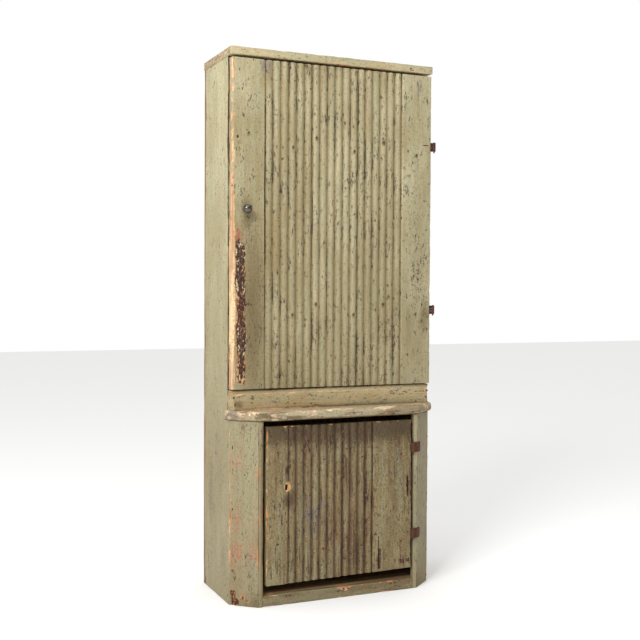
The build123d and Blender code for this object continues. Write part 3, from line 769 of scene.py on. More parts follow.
@dataclass
class Board:
    """One board: a cross-section drawn along its grain, then worn, warped and marked."""

    name: str
    nodes: tuple[str, ...]
    body: str
    grain: Grain
    ring: Ring
    span: Span
    face: Finish
    ends: Finish
    slot: str
    seed: int
    rounding: float = 1.5 * MM
    spacing: float = 16 * MM
    chip: float = 1.8 * MM
    chip_size: float = 0.07
    wave: float = 0.35 * MM
    wear: float = 1.0
    rows: Sequence[float] = ()
    blots: Sequence[Blot] = ()
    hollows: Sequence[Hollow] = ()
    shape: Shaping | None = None

    def placed(self, flat: np.ndarray, stop: np.ndarray) -> np.ndarray:
        """Puts cross-section points and places along the grain together as x, y, z."""
        if self.grain is Grain.Z:
            return np.stack([flat[..., 0], flat[..., 1], stop], axis=-1)
        if self.grain is Grain.X:
            return np.stack([stop, flat[..., 0], flat[..., 1]], axis=-1)
        return np.stack([flat[..., 0], stop, flat[..., 1]], axis=-1)

    def make(self) -> bpy.types.Object:
        """Builds the board, dresses it, and lets it stand for its nodes.

        Returns:
            The board's object.
        """
        extra = [row for hollow in self.hollows for row in hollow.rows()] + list(self.rows)
        low, high = self.span
        along = stops(low, high, self.rounding, self.spacing, [r for r in extra if low < r < high])
        inward = self.ring.inward()
        end_gap = np.minimum(along - low, high - along)
        short = np.clip(self.rounding - end_gap, 0, None)
        inset = self.rounding - np.sqrt(np.clip(self.rounding**2 - short**2, 0, None))
        flat = self.ring.points[None] + inward[None] * inset[:, None, None]
        stop = np.broadcast_to(along[:, None], flat.shape[:2])
        points = self.placed(flat, stop)
        into = self.placed(np.broadcast_to(inward[None], flat.shape), np.zeros(flat.shape[:2]))

        arris = np.broadcast_to(self.ring.arris[None], flat.shape[:2]).copy()
        end_arris = np.clip(1 - (end_gap - self.rounding) / ARRIS_REACH, 0, 1)[:, None] ** 2
        arris = np.maximum(arris, end_arris)
        rub = ripple(points, self.chip_size, self.seed)
        knock = np.clip(rub - 0.35, 0, 1.2) * arris**2
        points = points + into * (knock * self.chip)[..., None]
        points = points + into * (ripple(points, 0.22, self.seed + 1) * self.wave)[..., None]

        marks = {mark: np.zeros(flat.shape[:2]) for mark in Mark if mark is not Mark.PLANK}
        marks[Mark.WEAR] = self.wear * arris * (0.75 + 0.35 * rub) + knock * 0.5
        marks[Mark.GROOVE] = np.broadcast_to(self.ring.groove[None], flat.shape[:2]).copy()
        for blot in self.blots:
            marks[blot.mark] = np.maximum(marks[blot.mark], blot.over(points))
        for index, hollow in enumerate(self.hollows):
            facing = np.clip(into[..., 1], 0, 1)
            sunk = hollow.depth_over(points, self.seed + 20 + index) * facing
            points[..., 1] += sunk
            share = np.clip(sunk / hollow.depth, 0, 1)
            # Painted shade with real dirt: the inside of each split, hole and keyhole is blacked.
            marks[Mark.SOOT] = np.maximum(marks[Mark.SOOT], ease(share, 0.1, 0.7) * 1.4)
        if self.shape:
            self.shape(points, marks)
        piece = skin(self.name, points, marks, self.seed, STOCK.of(self.face), STOCK.of(self.ends))
        return settle(piece, self.body, self.nodes)


def skin(
    name: str,
    points: np.ndarray,
    marks: dict[Mark, np.ndarray],
    seed: int,
    face: bpy.types.Material,
    ends: bpy.types.Material,
) -> bpy.types.Object:
    """Closes rings of points into one solid mesh.

    Args:
        name: The object's name.
        points: Rings of points, each closed on itself.
        marks: A number for each point, by mark.
        seed: Sets this board's own piece of grain.
        face: Material of the long faces.
        ends: Material of the two ends.

    Returns:
        The object.
    """
    rings, count = points.shape[:2]
    order = np.arange(rings * count).reshape(rings, count)
    after = np.roll(order, -1, axis=1)
    quads = np.stack([order[:-1], after[:-1], after[1:], order[1:]], axis=-1).reshape(-1, 4)
    faces = [tuple(int(corner) for corner in quad) for quad in quads]
    faces += [tuple(int(corner) for corner in order[0][::-1]), tuple(int(corner) for corner in order[-1])]
    mesh = bpy.data.meshes.new(name)
    mesh.from_pydata(points.reshape(-1, 3).tolist(), [], faces)
    mesh.materials.append(face)
    mesh.materials.append(ends)
    for polygon in mesh.polygons[len(faces) - 2 :]:
        polygon.material_index = 1
    for mark, values in marks.items():
        layer = mesh.attributes.new(mark.value, "FLOAT", "POINT")
        layer.data.foreach_set("value", values.reshape(-1).astype(np.float32))
    shift = np.random.default_rng(seed).uniform(-20, 20, 3)
    layer = mesh.attributes.new(Mark.PLANK.value, "FLOAT_VECTOR", "POINT")
    layer.data.foreach_set("vector", np.tile(shift, rings * count).astype(np.float32))
    work = bmesh.new()
    work.from_mesh(mesh)
    bmesh.ops.recalc_face_normals(work, faces=work.faces)
    caps = [one for one in work.faces if len(one.verts) > 4]
    bmesh.ops.triangulate(work, faces=caps, ngon_method="EAR_CLIP")
    for one in work.faces:
        one.smooth = True
    work.to_mesh(mesh)
    work.free()
    mesh.set_sharp_from_angle(angle=radians(50))
    piece = bpy.data.objects.new(name, mesh)
    bpy.context.scene.collection.objects.link(piece)
    return piece


def settle(piece: bpy.types.Object, body: str, nodes: Sequence[str]) -> bpy.types.Object:
    """Lets a piece ride on its body and stand for the nodes it replaces.

    Args:
        piece: The finished piece.
        body: The body that carries it.
        nodes: The nodes it stands for.

    Returns:
        The same piece.
    """
    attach(piece, body)
    if nodes:
        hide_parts(*nodes)
    log.info("%s: %d faces on %s, for %s", piece.name, len(piece.data.polygons), body, ", ".join(nodes))
    return piece


def keep_node(node: str, finish: Finish, bevel: float) -> None:
    """Dresses a node of the frame that keeps its own shape, with its arrises eased.

    Args:
        node: The node's name.
        finish: What it is made of.
        bevel: Width of the eased arris.
    """
    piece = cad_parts[node]
    piece.data.materials.clear()
    piece.data.materials.append(STOCK.of(finish))
    for polygon in piece.data.polygons:
        polygon.material_index = 0
    if bevel:
        eased = piece.modifiers.new("eased", "BEVEL")
        eased.width = bevel
        eased.segments = 2
        eased.limit_method = "ANGLE"
        eased.angle_limit = radians(40)
        eased.harden_normals = False
    log.info("%s: kept, finished as %s", node, finish.name)


def box_outline(low: Vector, high: Vector, grain: Grain, radius: float, spacing: float) -> Ring:
    """The cross-section of a plain sawn board from its box.

    Args:
        low: The box's lowest corner.
        high: The box's highest corner.
        grain: The axis along the board.
        radius: Radius of its arrises.
        spacing: Distance between points.

    Returns:
        The cross-section.
    """
    across = {Grain.Z: (0, 1), Grain.X: (1, 2), Grain.Y: (0, 2)}[grain]
    u0, v0 = (low[axis] for axis in across)
    u1, v1 = (high[axis] for axis in across)
    return outline([(u0, v0), (u1, v0), (u1, v1), (u0, v1)], radius, spacing)


def separate_parts(node: str) -> list[np.ndarray]:
    """Splits a node's mesh into its separate solids.

    Args:
        node: The node's name.

    Returns:
        The points of each solid.
    """
    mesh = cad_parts[node].data
    parent = list(range(len(mesh.vertices)))

    def root(index: int) -> int:
        """Finds the first point of the solid that a point belongs to."""
        while parent[index] != index:
            parent[index] = parent[parent[index]]
            index = parent[index]
        return index

    for edge in mesh.edges:
        parent[root(edge.vertices[0])] = root(edge.vertices[1])
    groups: dict[int, list[Vector]] = {}
    for vertex in mesh.vertices:
        groups.setdefault(root(vertex.index), []).append(vertex.co)
    return [np.array([tuple(point) for point in group]) for group in groups.values()]


def rust_round(
    node: str, low: Vector, high: Vector, mark: Mark, amount: float, spread: float = 1.0
) -> list[Blot]:
    """Marks a board round the nails that are driven into its front.

    Args:
        node: The node that holds the nails.
        low: The board's lowest corner.
        high: The board's highest corner.
        mark: What the nails leave round them.
        amount: How strong it is.
        spread: How far it reaches, against the usual.

    Returns:
        One patch for each nail in the board.
    """
    blots = []
    for points in separate_parts(node):
        x, y, z = points.mean(axis=0)
        in_face = low.x < x < high.x and low.z < z < high.z
        if in_face and abs(points[:, 1].min() - low.y) < 0.01:
            reach = (0.007 * spread, 0.02, 0.010 * spread)
            blots.append(Blot(mark, (x, low.y, z - 0.003), reach, amount))
    return blots


# ---------------------------------------------------------------- finishes in use
CASE_PAINT = Paint(
    "case_paint",
    Grain.Z,
    light=tint(208, 200, 164),
    dark=tint(182, 169, 130),
    mottle=0.42,
    worn_at=0.74,
    floorward_darkening=0.5,
    sage_share=0.4,
    streak_dirt=0.45,
    speck_gate=0.56,
)
RAIL_PAINT = Paint(
    "rail_paint", Grain.X, light=tint(204, 184, 142), dark=tint(166, 142, 98), worn_at=0.68, floorward_darkening=0.2
)
BASE_PAINT = Paint(
    "base_paint",
    Grain.X,
    light=tint(140, 122, 88),
    dark=tint(98, 82, 54),
    wood=tint(206, 164, 114),
    speck_gate=0.5,
    worn_at=0.7,
)
POST_PAINT = Paint(
    "post_paint",
    Grain.Z,
    light=tint(184, 176, 144),
    dark=tint(150, 136, 104),
    wood=tint(220, 168, 116),
    rose=tint(190, 134, 96),
    brick=tint(178, 98, 68),
    worn_at=0.72,
)
DOOR_PAINT = Paint(
    "door_paint",
    Grain.Z,
    light=tint(200, 191, 155),
    dark=tint(152, 137, 98),
    wood=tint(232, 208, 162),
    rose=tint(198, 166, 132),
    floorward_darkening=0.55,
)
LOWER_PAINT = Paint(
    "lower_door_paint",
    Grain.Z,
    light=tint(161, 143, 101),
    dark=tint(104, 84, 50),
    sage=tint(148, 147, 114),
    thread_share=0.9,
    ember_share=0.25,
    # Its earth and grime colours also give the painted shade in the reeds and the painted shadow under the
    # nose.
    hollow_dirt_and_shade=tint(74, 50, 32),
    grime_and_shade=tint(66, 50, 32),
    wood=tint(222, 184, 128),
    rose=tint(184, 140, 96),
    brick=tint(112, 66, 44),
    ember=tint(140, 82, 58),
    mottle=0.55,
    streak_dirt=0.8,
    groove_dirt_and_shade_share=0.82,
    speck_gate=0.46,
    floorward_darkening=0.1,
    worn_at=0.74,
)
WAIST_WOOD = Paint(
    "waist_wood",
    Grain.X,
    light=tint(186, 170, 138),
    dark=tint(140, 122, 92),
    wood=tint(236, 212, 172),
    rose=tint(186, 166, 140),
    orange=tint(140, 112, 82),
    thread=tint(84, 68, 54),
    thread_share=0.75,
    mottle=0.6,
    worn_at=0.43,
    floorward_darkening=0.0,
)
TOP_PAINT = Paint(
    "top_paint",
    Grain.X,
    light=tint(206, 192, 153),
    dark=tint(172, 156, 117),
    worn_at=0.7,
    floorward_darkening=0.0,
    speck_gate=0.585,
)
BACK_WOOD = RawWood("back_wood", Grain.Z, light=tint(164, 132, 96), dark=tint(126, 97, 67))
SHELF_WOOD = RawWood("shelf_wood", Grain.X)
CLEAT_WOOD = RawWood("cleat_wood", Grain.Y)
BATTEN_WOOD = RawWood("batten_wood", Grain.X, light=tint(184, 149, 107), dark=tint(144, 110, 74))
END_WOOD = RawWood(
    "end_wood",
    Grain.X,
    light=tint(206, 184, 150),
    dark=tint(150, 128, 98),
    ring_ratio=1.0,
    ring_scale=120.0,
)
DARK_IRON = Iron("dark_iron")
RUSTY_IRON = Iron(
    "rusty_iron",
    face=tint(46, 36, 32),
    rust=tint(78, 50, 36),
    bloom=tint(122, 84, 58),
    rust_share=0.62,
    metal=0.2,
)
NAIL_IRON = Iron("nail_iron", face=tint(52, 42, 36), rust=tint(84, 58, 42), rust_share=0.6, metal=0.3)


# ---------------------------------------------------------------- the case
@dataclass
class Case:
    """The fixed carcass: sides, top, back, waist board, rails, canted corners and shelves."""

    body: str = "case"
    corner_thickness: float = 20 * MM
    nose_overhang: float = 12 * MM
    nose_radius: float = 14 * MM
    rail_bevel: float = 13 * MM
    lean_back: float = 9 * MM
    shelves: tuple[str, ...] = ("lower_shelf", "upper_shelf_1", "upper_shelf_2", "upper_shelf_3")

    @property
    def waist_low(self) -> float:
        """Height of the waist board's underside."""
        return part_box("waist_board")[0].z

    @property
    def front(self) -> float:
        """Front face of the case, behind the rails."""
        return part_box("mid_rail")[1].y

    def build(self) -> None:
        """Makes every piece of the case."""
        for side, name in ((-1, "side_left"), (1, "side_right")):
            self.side_board(side, name)
        self.top_board()
        for index in range(1, 5):
            self.plain(f"back_board_{index}", Grain.Z, BACK_WOOD, "bare_wood", 60 + index, 40 * MM)
        for index, name in enumerate(self.shelves):
            self.plain(name, Grain.X, SHELF_WOOD, "bare_wood", 70 + index, 40 * MM)
            keep_node(f"{name}_cleats", CLEAT_WOOD, 0.8 * MM)
        keep_node("floor_cleats", CLEAT_WOOD, 0.8 * MM)
        keep_node("floor_board", SHELF_WOOD, 0.8 * MM)
        self.mid_rail()
        self.base_rail()
        for side, name in ((-1, "left"), (1, "right")):
            self.corner_board(side, name)
            self.stile(side, name)
        self.waist_board()

    def plain(self, node: str, grain: Grain, finish: Finish, slot: str, seed: int, spacing: float) -> None:
        """Makes a plain sawn board in place of a node.

        Args:
            node: The node it stands for.
            grain: The axis along the board.
            finish: What it is made of.
            slot: The finish slot's name, kept on the board, where nothing uses it.
            seed: Its own random start.
            spacing: Distance between its points.
        """
        low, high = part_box(node)
        Board(
            name=f"{node}_wood",
            nodes=(node,),
            body=self.body,
            grain=grain,
            ring=box_outline(low, high, grain, 1.0 * MM, spacing),
            span=(low[grain.value], high[grain.value]),
            face=finish,
            ends=finish,
            slot=slot,
            seed=seed,
            spacing=spacing,
            chip=1.2 * MM,
            wave=0.25 * MM,
        ).make()

    def side_board(self, side: int, node: str) -> None:
        """Makes one full-height side board, deeper below the waist.

        Args:
            side: -1 for left, 1 for right.
            node: The node it stands for.
        """
        low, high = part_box(node)
        upper_share = (high.y - self.front) / (high.y - low.y)
        step = self.waist_low

        def shape(points: np.ndarray, marks: dict[Mark, np.ndarray]) -> None:
            """Draws the upper part in to its own depth and lets its front edge lean back a little.

            Args:
                points: The board's points, which move.
                marks: The board's marks, which gain painted shade, a dark line down the front edge behind
                    the upper door's gap.
            """
            above = points[..., 2] > step
            behind = high.y - points[..., 1]
            points[..., 1] = np.where(above, high.y - behind * upper_share, points[..., 1])
            forward = np.clip(behind / (high.y - low.y), 0, 1)
            lean = (0.35 + 0.65 * ease(points[..., 2], step + 0.1, high.z)) * self.lean_back
            points[..., 1] += forward**3 * lean * above
            # Painted shade: the front edge darkens so the gap beside the upper door reads as a dark line.
            shade_line = ease(forward, 0.992, 0.999) * above * 1.3
            marks[Mark.GROOVE] = np.maximum(marks[Mark.GROOVE], shade_line)

        Board(
            name=f"{node}_wood",
            nodes=(node,),
            body=self.body,
            grain=Grain.Z,
            ring=box_outline(low, high, Grain.Z, 1.6 * MM, 15 * MM),
            span=(low.z, high.z),
            face=CASE_PAINT,
            ends=END_WOOD,
            slot="case_paint",
            seed=3 + side,
            wear=0.75,
            wave=0.6 * MM,
            rows=(step - 0.2 * MM, step + 0.2 * MM),
            blots=(
                Blot(Mark.BARE, (side * 0.387, low.y, 0.36), (0.02, 0.004, 0.4), 0.55),
                Blot(Mark.SOOT, (side * 0.387, high.y, 0.0), (0.03, 0.02, 0.03), 0.7),
                Blot(Mark.BARE, (side * 0.387, -0.02, 1.66), (0.011, 0.011, 0.014), 1.5),
                Blot(Mark.DAMP, (side * 0.387, 0.10, 0.34), (0.02, 0.05, 0.22), 0.5),
                Blot(Mark.DAMP, (side * 0.387, -0.05, 0.16), (0.02, 0.05, 0.12), 0.45),
                Blot(Mark.SLATE, (side * 0.387, 0.02, 0.50), (0.02, 0.05, 0.10), 0.35),
            ),
            shape=shape,
        ).make()

    def top_board(self) -> None:
        """Makes the top board, with its end grain showing at the sides."""
        low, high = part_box("top_board")
        Board(
            name="top_board_wood",
            nodes=("top_board",),
            body=self.body,
            grain=Grain.X,
            ring=box_outline(low, high, Grain.X, 2.2 * MM, 14 * MM),
            span=(low.x, high.x),
            face=TOP_PAINT,
            ends=END_WOOD,
            slot="case_paint",
            seed=11,
            rounding=2.5 * MM,
            chip=2.2 * MM,
            blots=(
                Blot(Mark.DAMP, (low.x, 0.10, high.z - 0.014), (0.02, 0.09, 0.03), 0.7),
                Blot(Mark.BARE, (low.x, low.y, high.z), (0.12, 0.05, 0.03), 0.4),
                *(
                    Blot(Mark.DAMP, (x, low.y, high.z - 0.012), (0.006, 0.01, 0.006), 1.0)
                    for x in (-0.19, 0.03, 0.18)
                ),
            ),
        ).make()

    def mid_rail(self) -> None:
        """Makes the rail under the upper door, bevelled at its top and its two ends."""
        low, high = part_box("mid_rail")
        bevel = self.rail_bevel
        corners = [
            (low.y, low.z),
            (low.y, high.z - bevel),
            (low.y + bevel, high.z),
            (high.y, high.z),
            (high.y, low.z),
        ]

        def shape(points: np.ndarray, marks: dict[Mark, np.ndarray]) -> None:
            """Bevels both ends back from the front face.

            Args:
                points: The rail's points, which move.
                marks: The rail's marks, left as they are.
            """
            half = high.x - np.clip(bevel - (points[..., 1] - low.y), 0, bevel)
            points[..., 0] = np.clip(points[..., 0], -half, half)

        Board(
            name="mid_rail_wood",
            nodes=("mid_rail",),
            body=self.body,
            grain=Grain.X,
            ring=outline(corners, (1.2 * MM, 2.5 * MM, 1.5 * MM, 1.0 * MM, 1.0 * MM), 9 * MM),
            span=(low.x, high.x),
            face=RAIL_PAINT,
            ends=RAIL_PAINT,
            slot="case_paint",
            seed=17,
            rows=(low.x + bevel * 0.5, high.x - bevel * 0.5),
            blots=(
                Blot(Mark.DAMP, (0.0, low.y, low.z), (0.5, 0.03, 0.012), 0.8),
                Blot(Mark.FLECK, (-0.26, low.y, low.z + 0.004), (0.05, 0.02, 0.012), 0.7),
                Blot(Mark.BARE, (-0.27, low.y, low.z), (0.09, 0.02, 0.012), 0.7),
                Blot(Mark.DAMP, (-0.36, low.y, low.z + 0.02), (0.03, 0.02, 0.02), 0.8),
                Blot(Mark.BARE, (0.1, low.y, high.z), (0.6, 0.02, 0.008), 0.15),
            ),
            shape=shape,
        ).make()

    def base_rail(self) -> None:
        """Makes the low rail across the foot of the opening."""
        low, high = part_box("base_rail")
        Board(
            name="base_rail_wood",
            nodes=("base_rail",),
            body=self.body,
            grain=Grain.X,
            ring=box_outline(low, high, Grain.X, 3.0 * MM, 9 * MM),
            span=(low.x, high.x),
            face=BASE_PAINT,
            ends=END_WOOD,
            slot="case_paint",
            seed=23,
            chip=3.0 * MM,
            blots=(
                Blot(Mark.BARE, (0.0, low.y, high.z), (0.4, 0.02, 0.01), 0.15),
                *rust_round("front_nails", low, high, Mark.BARE, 0.85, 0.7),
            ),
        ).make()

    def corner_board(self, side: int, name: str) -> None:
        """Makes one canted corner board.

        Args:
            side: -1 for left, 1 for right.
            name: Which corner, as its node says.
        """
        node = f"corner_board_{name}"
        low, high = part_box(node)
        outer, inner = (low.x, high.x) if side < 0 else (high.x, low.x)
        angle = atan2(high.y - low.y, high.x - low.x)
        run = self.corner_thickness / cos(angle)
        corners = [
            (outer, high.y),
            (inner, low.y),
            (inner, low.y + run),
            (outer - side * run / tan(angle), high.y),
        ]
        foot = 0.055

        def shape(points: np.ndarray, marks: dict[Mark, np.ndarray]) -> None:
            """Breaks the foot's outer arris away.

            Args:
                points: The board's points, which move.
                marks: The board's marks.
            """
            ragged = ripple(points, 0.03, 31) * 0.012
            near = ease(-points[..., 2] + foot + ragged, 0.0, 0.04)
            edge = np.clip(1 - np.abs(points[..., 0] - outer) / 0.022, 0, 1)
            bite = near * edge
            points[..., 0] -= side * bite * 0.007
            points[..., 1] += bite * 0.004
            marks[Mark.SOOT] = np.maximum(marks[Mark.SOOT], np.clip(bite * 1.1, 0, 0.9))

        redness = [
            Blot(Mark.FLECK, (outer - side * inset, high.y - inset, z), (0.03, 0.03, spread), amount)
            for inset, z, spread, amount in (
                (0.02, 0.49, 0.05, 0.85),
                (0.03, 0.55, 0.03, 0.6),
                (0.02, 0.29, 0.07, 0.9),
                (0.022, 0.18, 0.06, 1.1),
                (0.06, 0.19, 0.05, 1.0),
                (0.07, 0.30, 0.06, 0.6),
                (0.03, 0.10, 0.04, 0.6),
            )
        ]
        Board(
            name=f"{node}_wood",
            nodes=(node,),
            body=self.body,
            grain=Grain.Z,
            ring=outline(corners, (1.5 * MM, 2.5 * MM, 1.0 * MM, 0.6 * MM), 8 * MM),
            span=(low.z, high.z),
            face=POST_PAINT,
            ends=END_WOOD,
            slot="case_paint",
            seed=29 + side,
            spacing=10 * MM,
            wave=0.5 * MM,
            blots=(
                *(redness if side < 0 else ()),
                *(self.foot_marks(side, outer, high.y) if side < 0 else ()),
                Blot(Mark.BARE, (outer, high.y, 0.25), (0.008, 0.012, 0.25), 0.45),
                Blot(Mark.DAMP, (inner, low.y, 0.0), (0.1, 0.1, 0.08), 0.7),
            ),
            shape=shape if side < 0 else None,
        ).make()

    def foot_marks(self, side: int, outer: float, back: float) -> list[Blot]:
        """Rot and old nail holes round the foot of a corner.

        Args:
            side: -1 for left, 1 for right.
            outer: Where the corner meets the cabinet's side.
            back: How far back the corner meets it.

        Returns:
            The marks.
        """
        spots = (
            (0.008, 0.040, 0.014),
            (0.016, 0.014, 0.016),
            (0.034, 0.030, 0.010),
            (0.050, 0.020, 0.009),
        )
        rotten = [
            Blot(Mark.SOOT, (outer - side * inset, back - inset, z), (size, size, size), 1.3)
            for inset, z, size in spots
        ]
        bare = [
            Blot(
                Mark.BARE,
                (outer - side * (inset + 0.007), back - inset, z + 0.006),
                (0.01, 0.02, 0.012),
                0.9,
            )
            for inset, z, size in spots[1:]
        ]
        return rotten + bare

    def stile(self, side: int, name: str) -> None:
        """Makes the narrow strip between a canted corner and the lower door's opening.

        Args:
            side: -1 for left, 1 for right.
            name: Which one, as its node says.
        """
        node = f"stile_{name}"
        low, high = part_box(node)
        inner = high.x if side < 0 else low.x
        # Darker along the inner edge beside the lower door, more so on the left.
        damp = 0.9 if side < 0 else 0.35
        Board(
            name=f"{node}_wood",
            nodes=(node,),
            body=self.body,
            grain=Grain.Z,
            ring=box_outline(low, high, Grain.Z, 1.5 * MM, 6 * MM),
            span=(low.z, high.z),
            face=POST_PAINT,
            ends=END_WOOD,
            slot="case_paint",
            seed=37 + side,
            spacing=10 * MM,
            blots=(Blot(Mark.DAMP, (inner, low.y, 0.3), (0.01, 0.02, 0.5), damp),),
        ).make()

    def waist_board(self) -> None:
        """Makes the waist board, with its half-round nose round the step."""
        low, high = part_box("waist_board")
        corner_low, corner_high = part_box("corner_board_left")
        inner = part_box("side_left")[1].x
        angle = atan2(corner_high.y - corner_low.y, corner_high.x - corner_low.x)
        over = self.nose_overhang
        shoulder = corner_high.y - over / cos(angle) + over * tan(angle)
        turn = low.x + (shoulder - low.y) / tan(angle)
        left = [
            (turn, low.y),
            (low.x, shoulder),
            (low.x, self.front),
            (inner, self.front),
            (inner, high.y),
        ]
        corners = left + [(-x, y) for x, y in reversed(left)]
        radii = [12 * MM, 12 * MM, 2 * MM, 0.5 * MM, 0.5 * MM]
        ring = outline(corners, radii + radii[::-1], 12 * MM)
        inward = ring.inward()
        soft = np.where(ring.points[:, 1] < self.front - 1 * MM, 1.0, 0.0)
        radius = self.nose_radius
        levels = []
        for turn_share in np.linspace(0, 1, 7):
            sweep = turn_share * pi / 2
            levels.append((low.z + radius * (1 - cos(sweep)), radius * (1 - sin(sweep))))
        levels += [(low.z + high.z - z, inset) for z, inset in reversed(levels)]
        heights = np.array([z for z, inset in levels])
        insets = np.array([inset for z, inset in levels])
        flat = ring.points[None] + inward[None] * (soft[None] * insets[:, None])[..., None]
        points = np.concatenate(
            [flat, np.broadcast_to(heights[:, None, None], (*flat.shape[:2], 1))], axis=-1
        )
        into = np.concatenate(
            [np.broadcast_to(inward[None], flat.shape), np.zeros((*flat.shape[:2], 1))], axis=-1
        )
        rub = ripple(points, 0.08, 41)
        points += into * (np.clip(rub, -0.4, 1) * soft[None] * 1.6 * MM)[..., None]
        cracks = np.clip(ripple(points * np.array([0.12, 1.0, 1.0]), 0.016, 45) - 0.2, 0, 1)
        points += into * (cracks * soft[None] * 1.2 * MM)[..., None]
        points[..., 2] += ripple(points, 0.3, 43) * soft[None] * 0.5 * MM
        points[..., 2] = np.clip(points[..., 2], low.z, high.z)
        marks = {mark: np.zeros(flat.shape[:2]) for mark in Mark if mark is not Mark.PLANK}
        nose = np.clip((points[..., 2] - low.z) / (high.z - low.z), 0, 1)
        marks[Mark.WEAR] = soft[None] * (0.9 + 0.5 * rub) * (0.35 + 0.65 * nose)
        # Painted shade on the nose's underside, darkest at its foot, with real dirt in its cracks.
        marks[Mark.DAMP] = np.maximum((1 - ease(nose, 0.0, 0.35)) * 0.9, cracks * 0.8 * soft[None])
        chalk = Blot(Mark.SLATE, (low.x, shoulder, high.z), (0.10, 0.10, 0.05), 0.75)
        marks[Mark.SLATE] = chalk.over(points)
        paint = STOCK.of(WAIST_WOOD)
        piece = skin("waist_board_wood", points, marks, 47, paint, paint)
        settle(piece, self.body, ("waist_board",))


# ---------------------------------------------------------------- the doors
REED_STEPS = (0.0, 0.05, 0.11, 0.19, 0.29, 0.4, 0.5, 0.6, 0.71, 0.81, 0.89, 0.95)


@dataclass
class ReededDoor:
    """A door of reeded boards held by two battens across its back."""

    name: str
    body: str
    board_count: int
    paint: Paint
    slot: str
    reed_pitch: float = 29.4 * MM
    reed_depth: float = 5.6 * MM
    reed_power: float = 1.2
    seam_radius: float = 0.4 * MM
    hinge_radius: float = 2.0 * MM
    back_radius: float = 1.0 * MM
    seed: int = 100

    def reed_layout(self) -> list[tuple[float, int]]:
        """Where each board's reeds start and how many it has."""
        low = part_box(f"{self.name}_board_1")[1].x - 6 * self.reed_pitch
        return [(low + index * 6 * self.reed_pitch, 6) for index in range(self.board_count)]

    def ring(
        self,
        low: Vector,
        high: Vector,
        start: float,
        count: int,
        radii: Sequence[float],
        hollows: Sequence[Hollow],
    ) -> Ring:
        """The cross-section of one reeded board.

        Args:
            low: The board's lowest corner.
            high: The board's highest corner.
            start: Where its reeds begin.
            count: How many reeds it has.
            radii: Radii of its four corners, front left first.
            hollows: Splits and holes that need points.

        Returns:
            The cross-section, its first edge along the front.
        """
        end = start + count * self.reed_pitch
        marks = [start + (reed + step) * self.reed_pitch for reed in range(count) for step in REED_STEPS]
        marks += [end, start - 3.5 * MM, start - 1.5 * MM, end + 1.5 * MM, end + 3.5 * MM]
        marks += [column for hollow in hollows for column in hollow.columns()]
        corners = [(low.x, low.y), (high.x, low.y), (high.x, high.y), (low.x, high.y)]
        ring = outline(
            corners, radii, 8 * MM, [mark - low.x for mark in marks if low.x < mark < high.x]
        )
        x = ring.points[:, 0]
        share = ((x - start) / self.reed_pitch) % 1.0
        crest = np.sin(np.pi * share) ** self.reed_power
        within = (x > start - 0.1 * MM) & (x < end + 0.1 * MM)
        before = np.clip(1 - (start - x) / (3.5 * MM), 0, 1) * (x < start)
        past = np.clip(1 - (x - end) / (3.5 * MM), 0, 1) * (x > end)
        valley = np.where(within, 1 - crest, np.maximum(before, past) ** 2)
        facing = ring.points[:, 1] < (low.y + high.y) / 2
        at_seam = (np.abs(x - low.x) < 3 * MM) & (np.abs(low.x - start) < 1 * MM)
        at_seam |= (np.abs(x - high.x) < 3 * MM) & (np.abs(high.x - end) < 1 * MM)
        valley = np.where(at_seam, 1.0, valley)
        ring.points[:, 1] += np.where(facing, valley * self.reed_depth, 0.0)
        # The groove mark darkens the valleys and seams: dirt and dark joints, and painted shade across the
        # valleys.
        ring.groove = np.where(facing, valley, 0.0)
        ring.arris = np.where(at_seam & facing, 0.0, ring.arris)
        return ring

    def corner_radii(self, free: float | None, last: bool) -> list[float]:
        """Radii of one board's four corners, front left first.

        Args:
            free: Radius of its free arris, or None where it meets another board.
            last: Whether it is the board on the hinge side.

        Returns:
            The four radii.
        """
        left = self.seam_radius if free is None else free
        right = self.hinge_radius if last else self.seam_radius
        return [left, right, self.back_radius, self.back_radius]

    def battens(self) -> None:
        """Makes the two battens."""
        for index, place in enumerate(("bottom", "top")):
            node = f"{self.name}_batten_{place}"
            low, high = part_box(node)
            Board(
                name=f"{node}_wood",
                nodes=(node,),
                body=self.body,
                grain=Grain.X,
                ring=box_outline(low, high, Grain.X, 2.5 * MM, 18 * MM),
                span=(low.x, high.x),
                face=BATTEN_WOOD,
                ends=BATTEN_WOOD,
                slot="bare_wood",
                seed=self.seed + 10 + index,
                rounding=3.0 * MM,
                spacing=30 * MM,
            ).make()


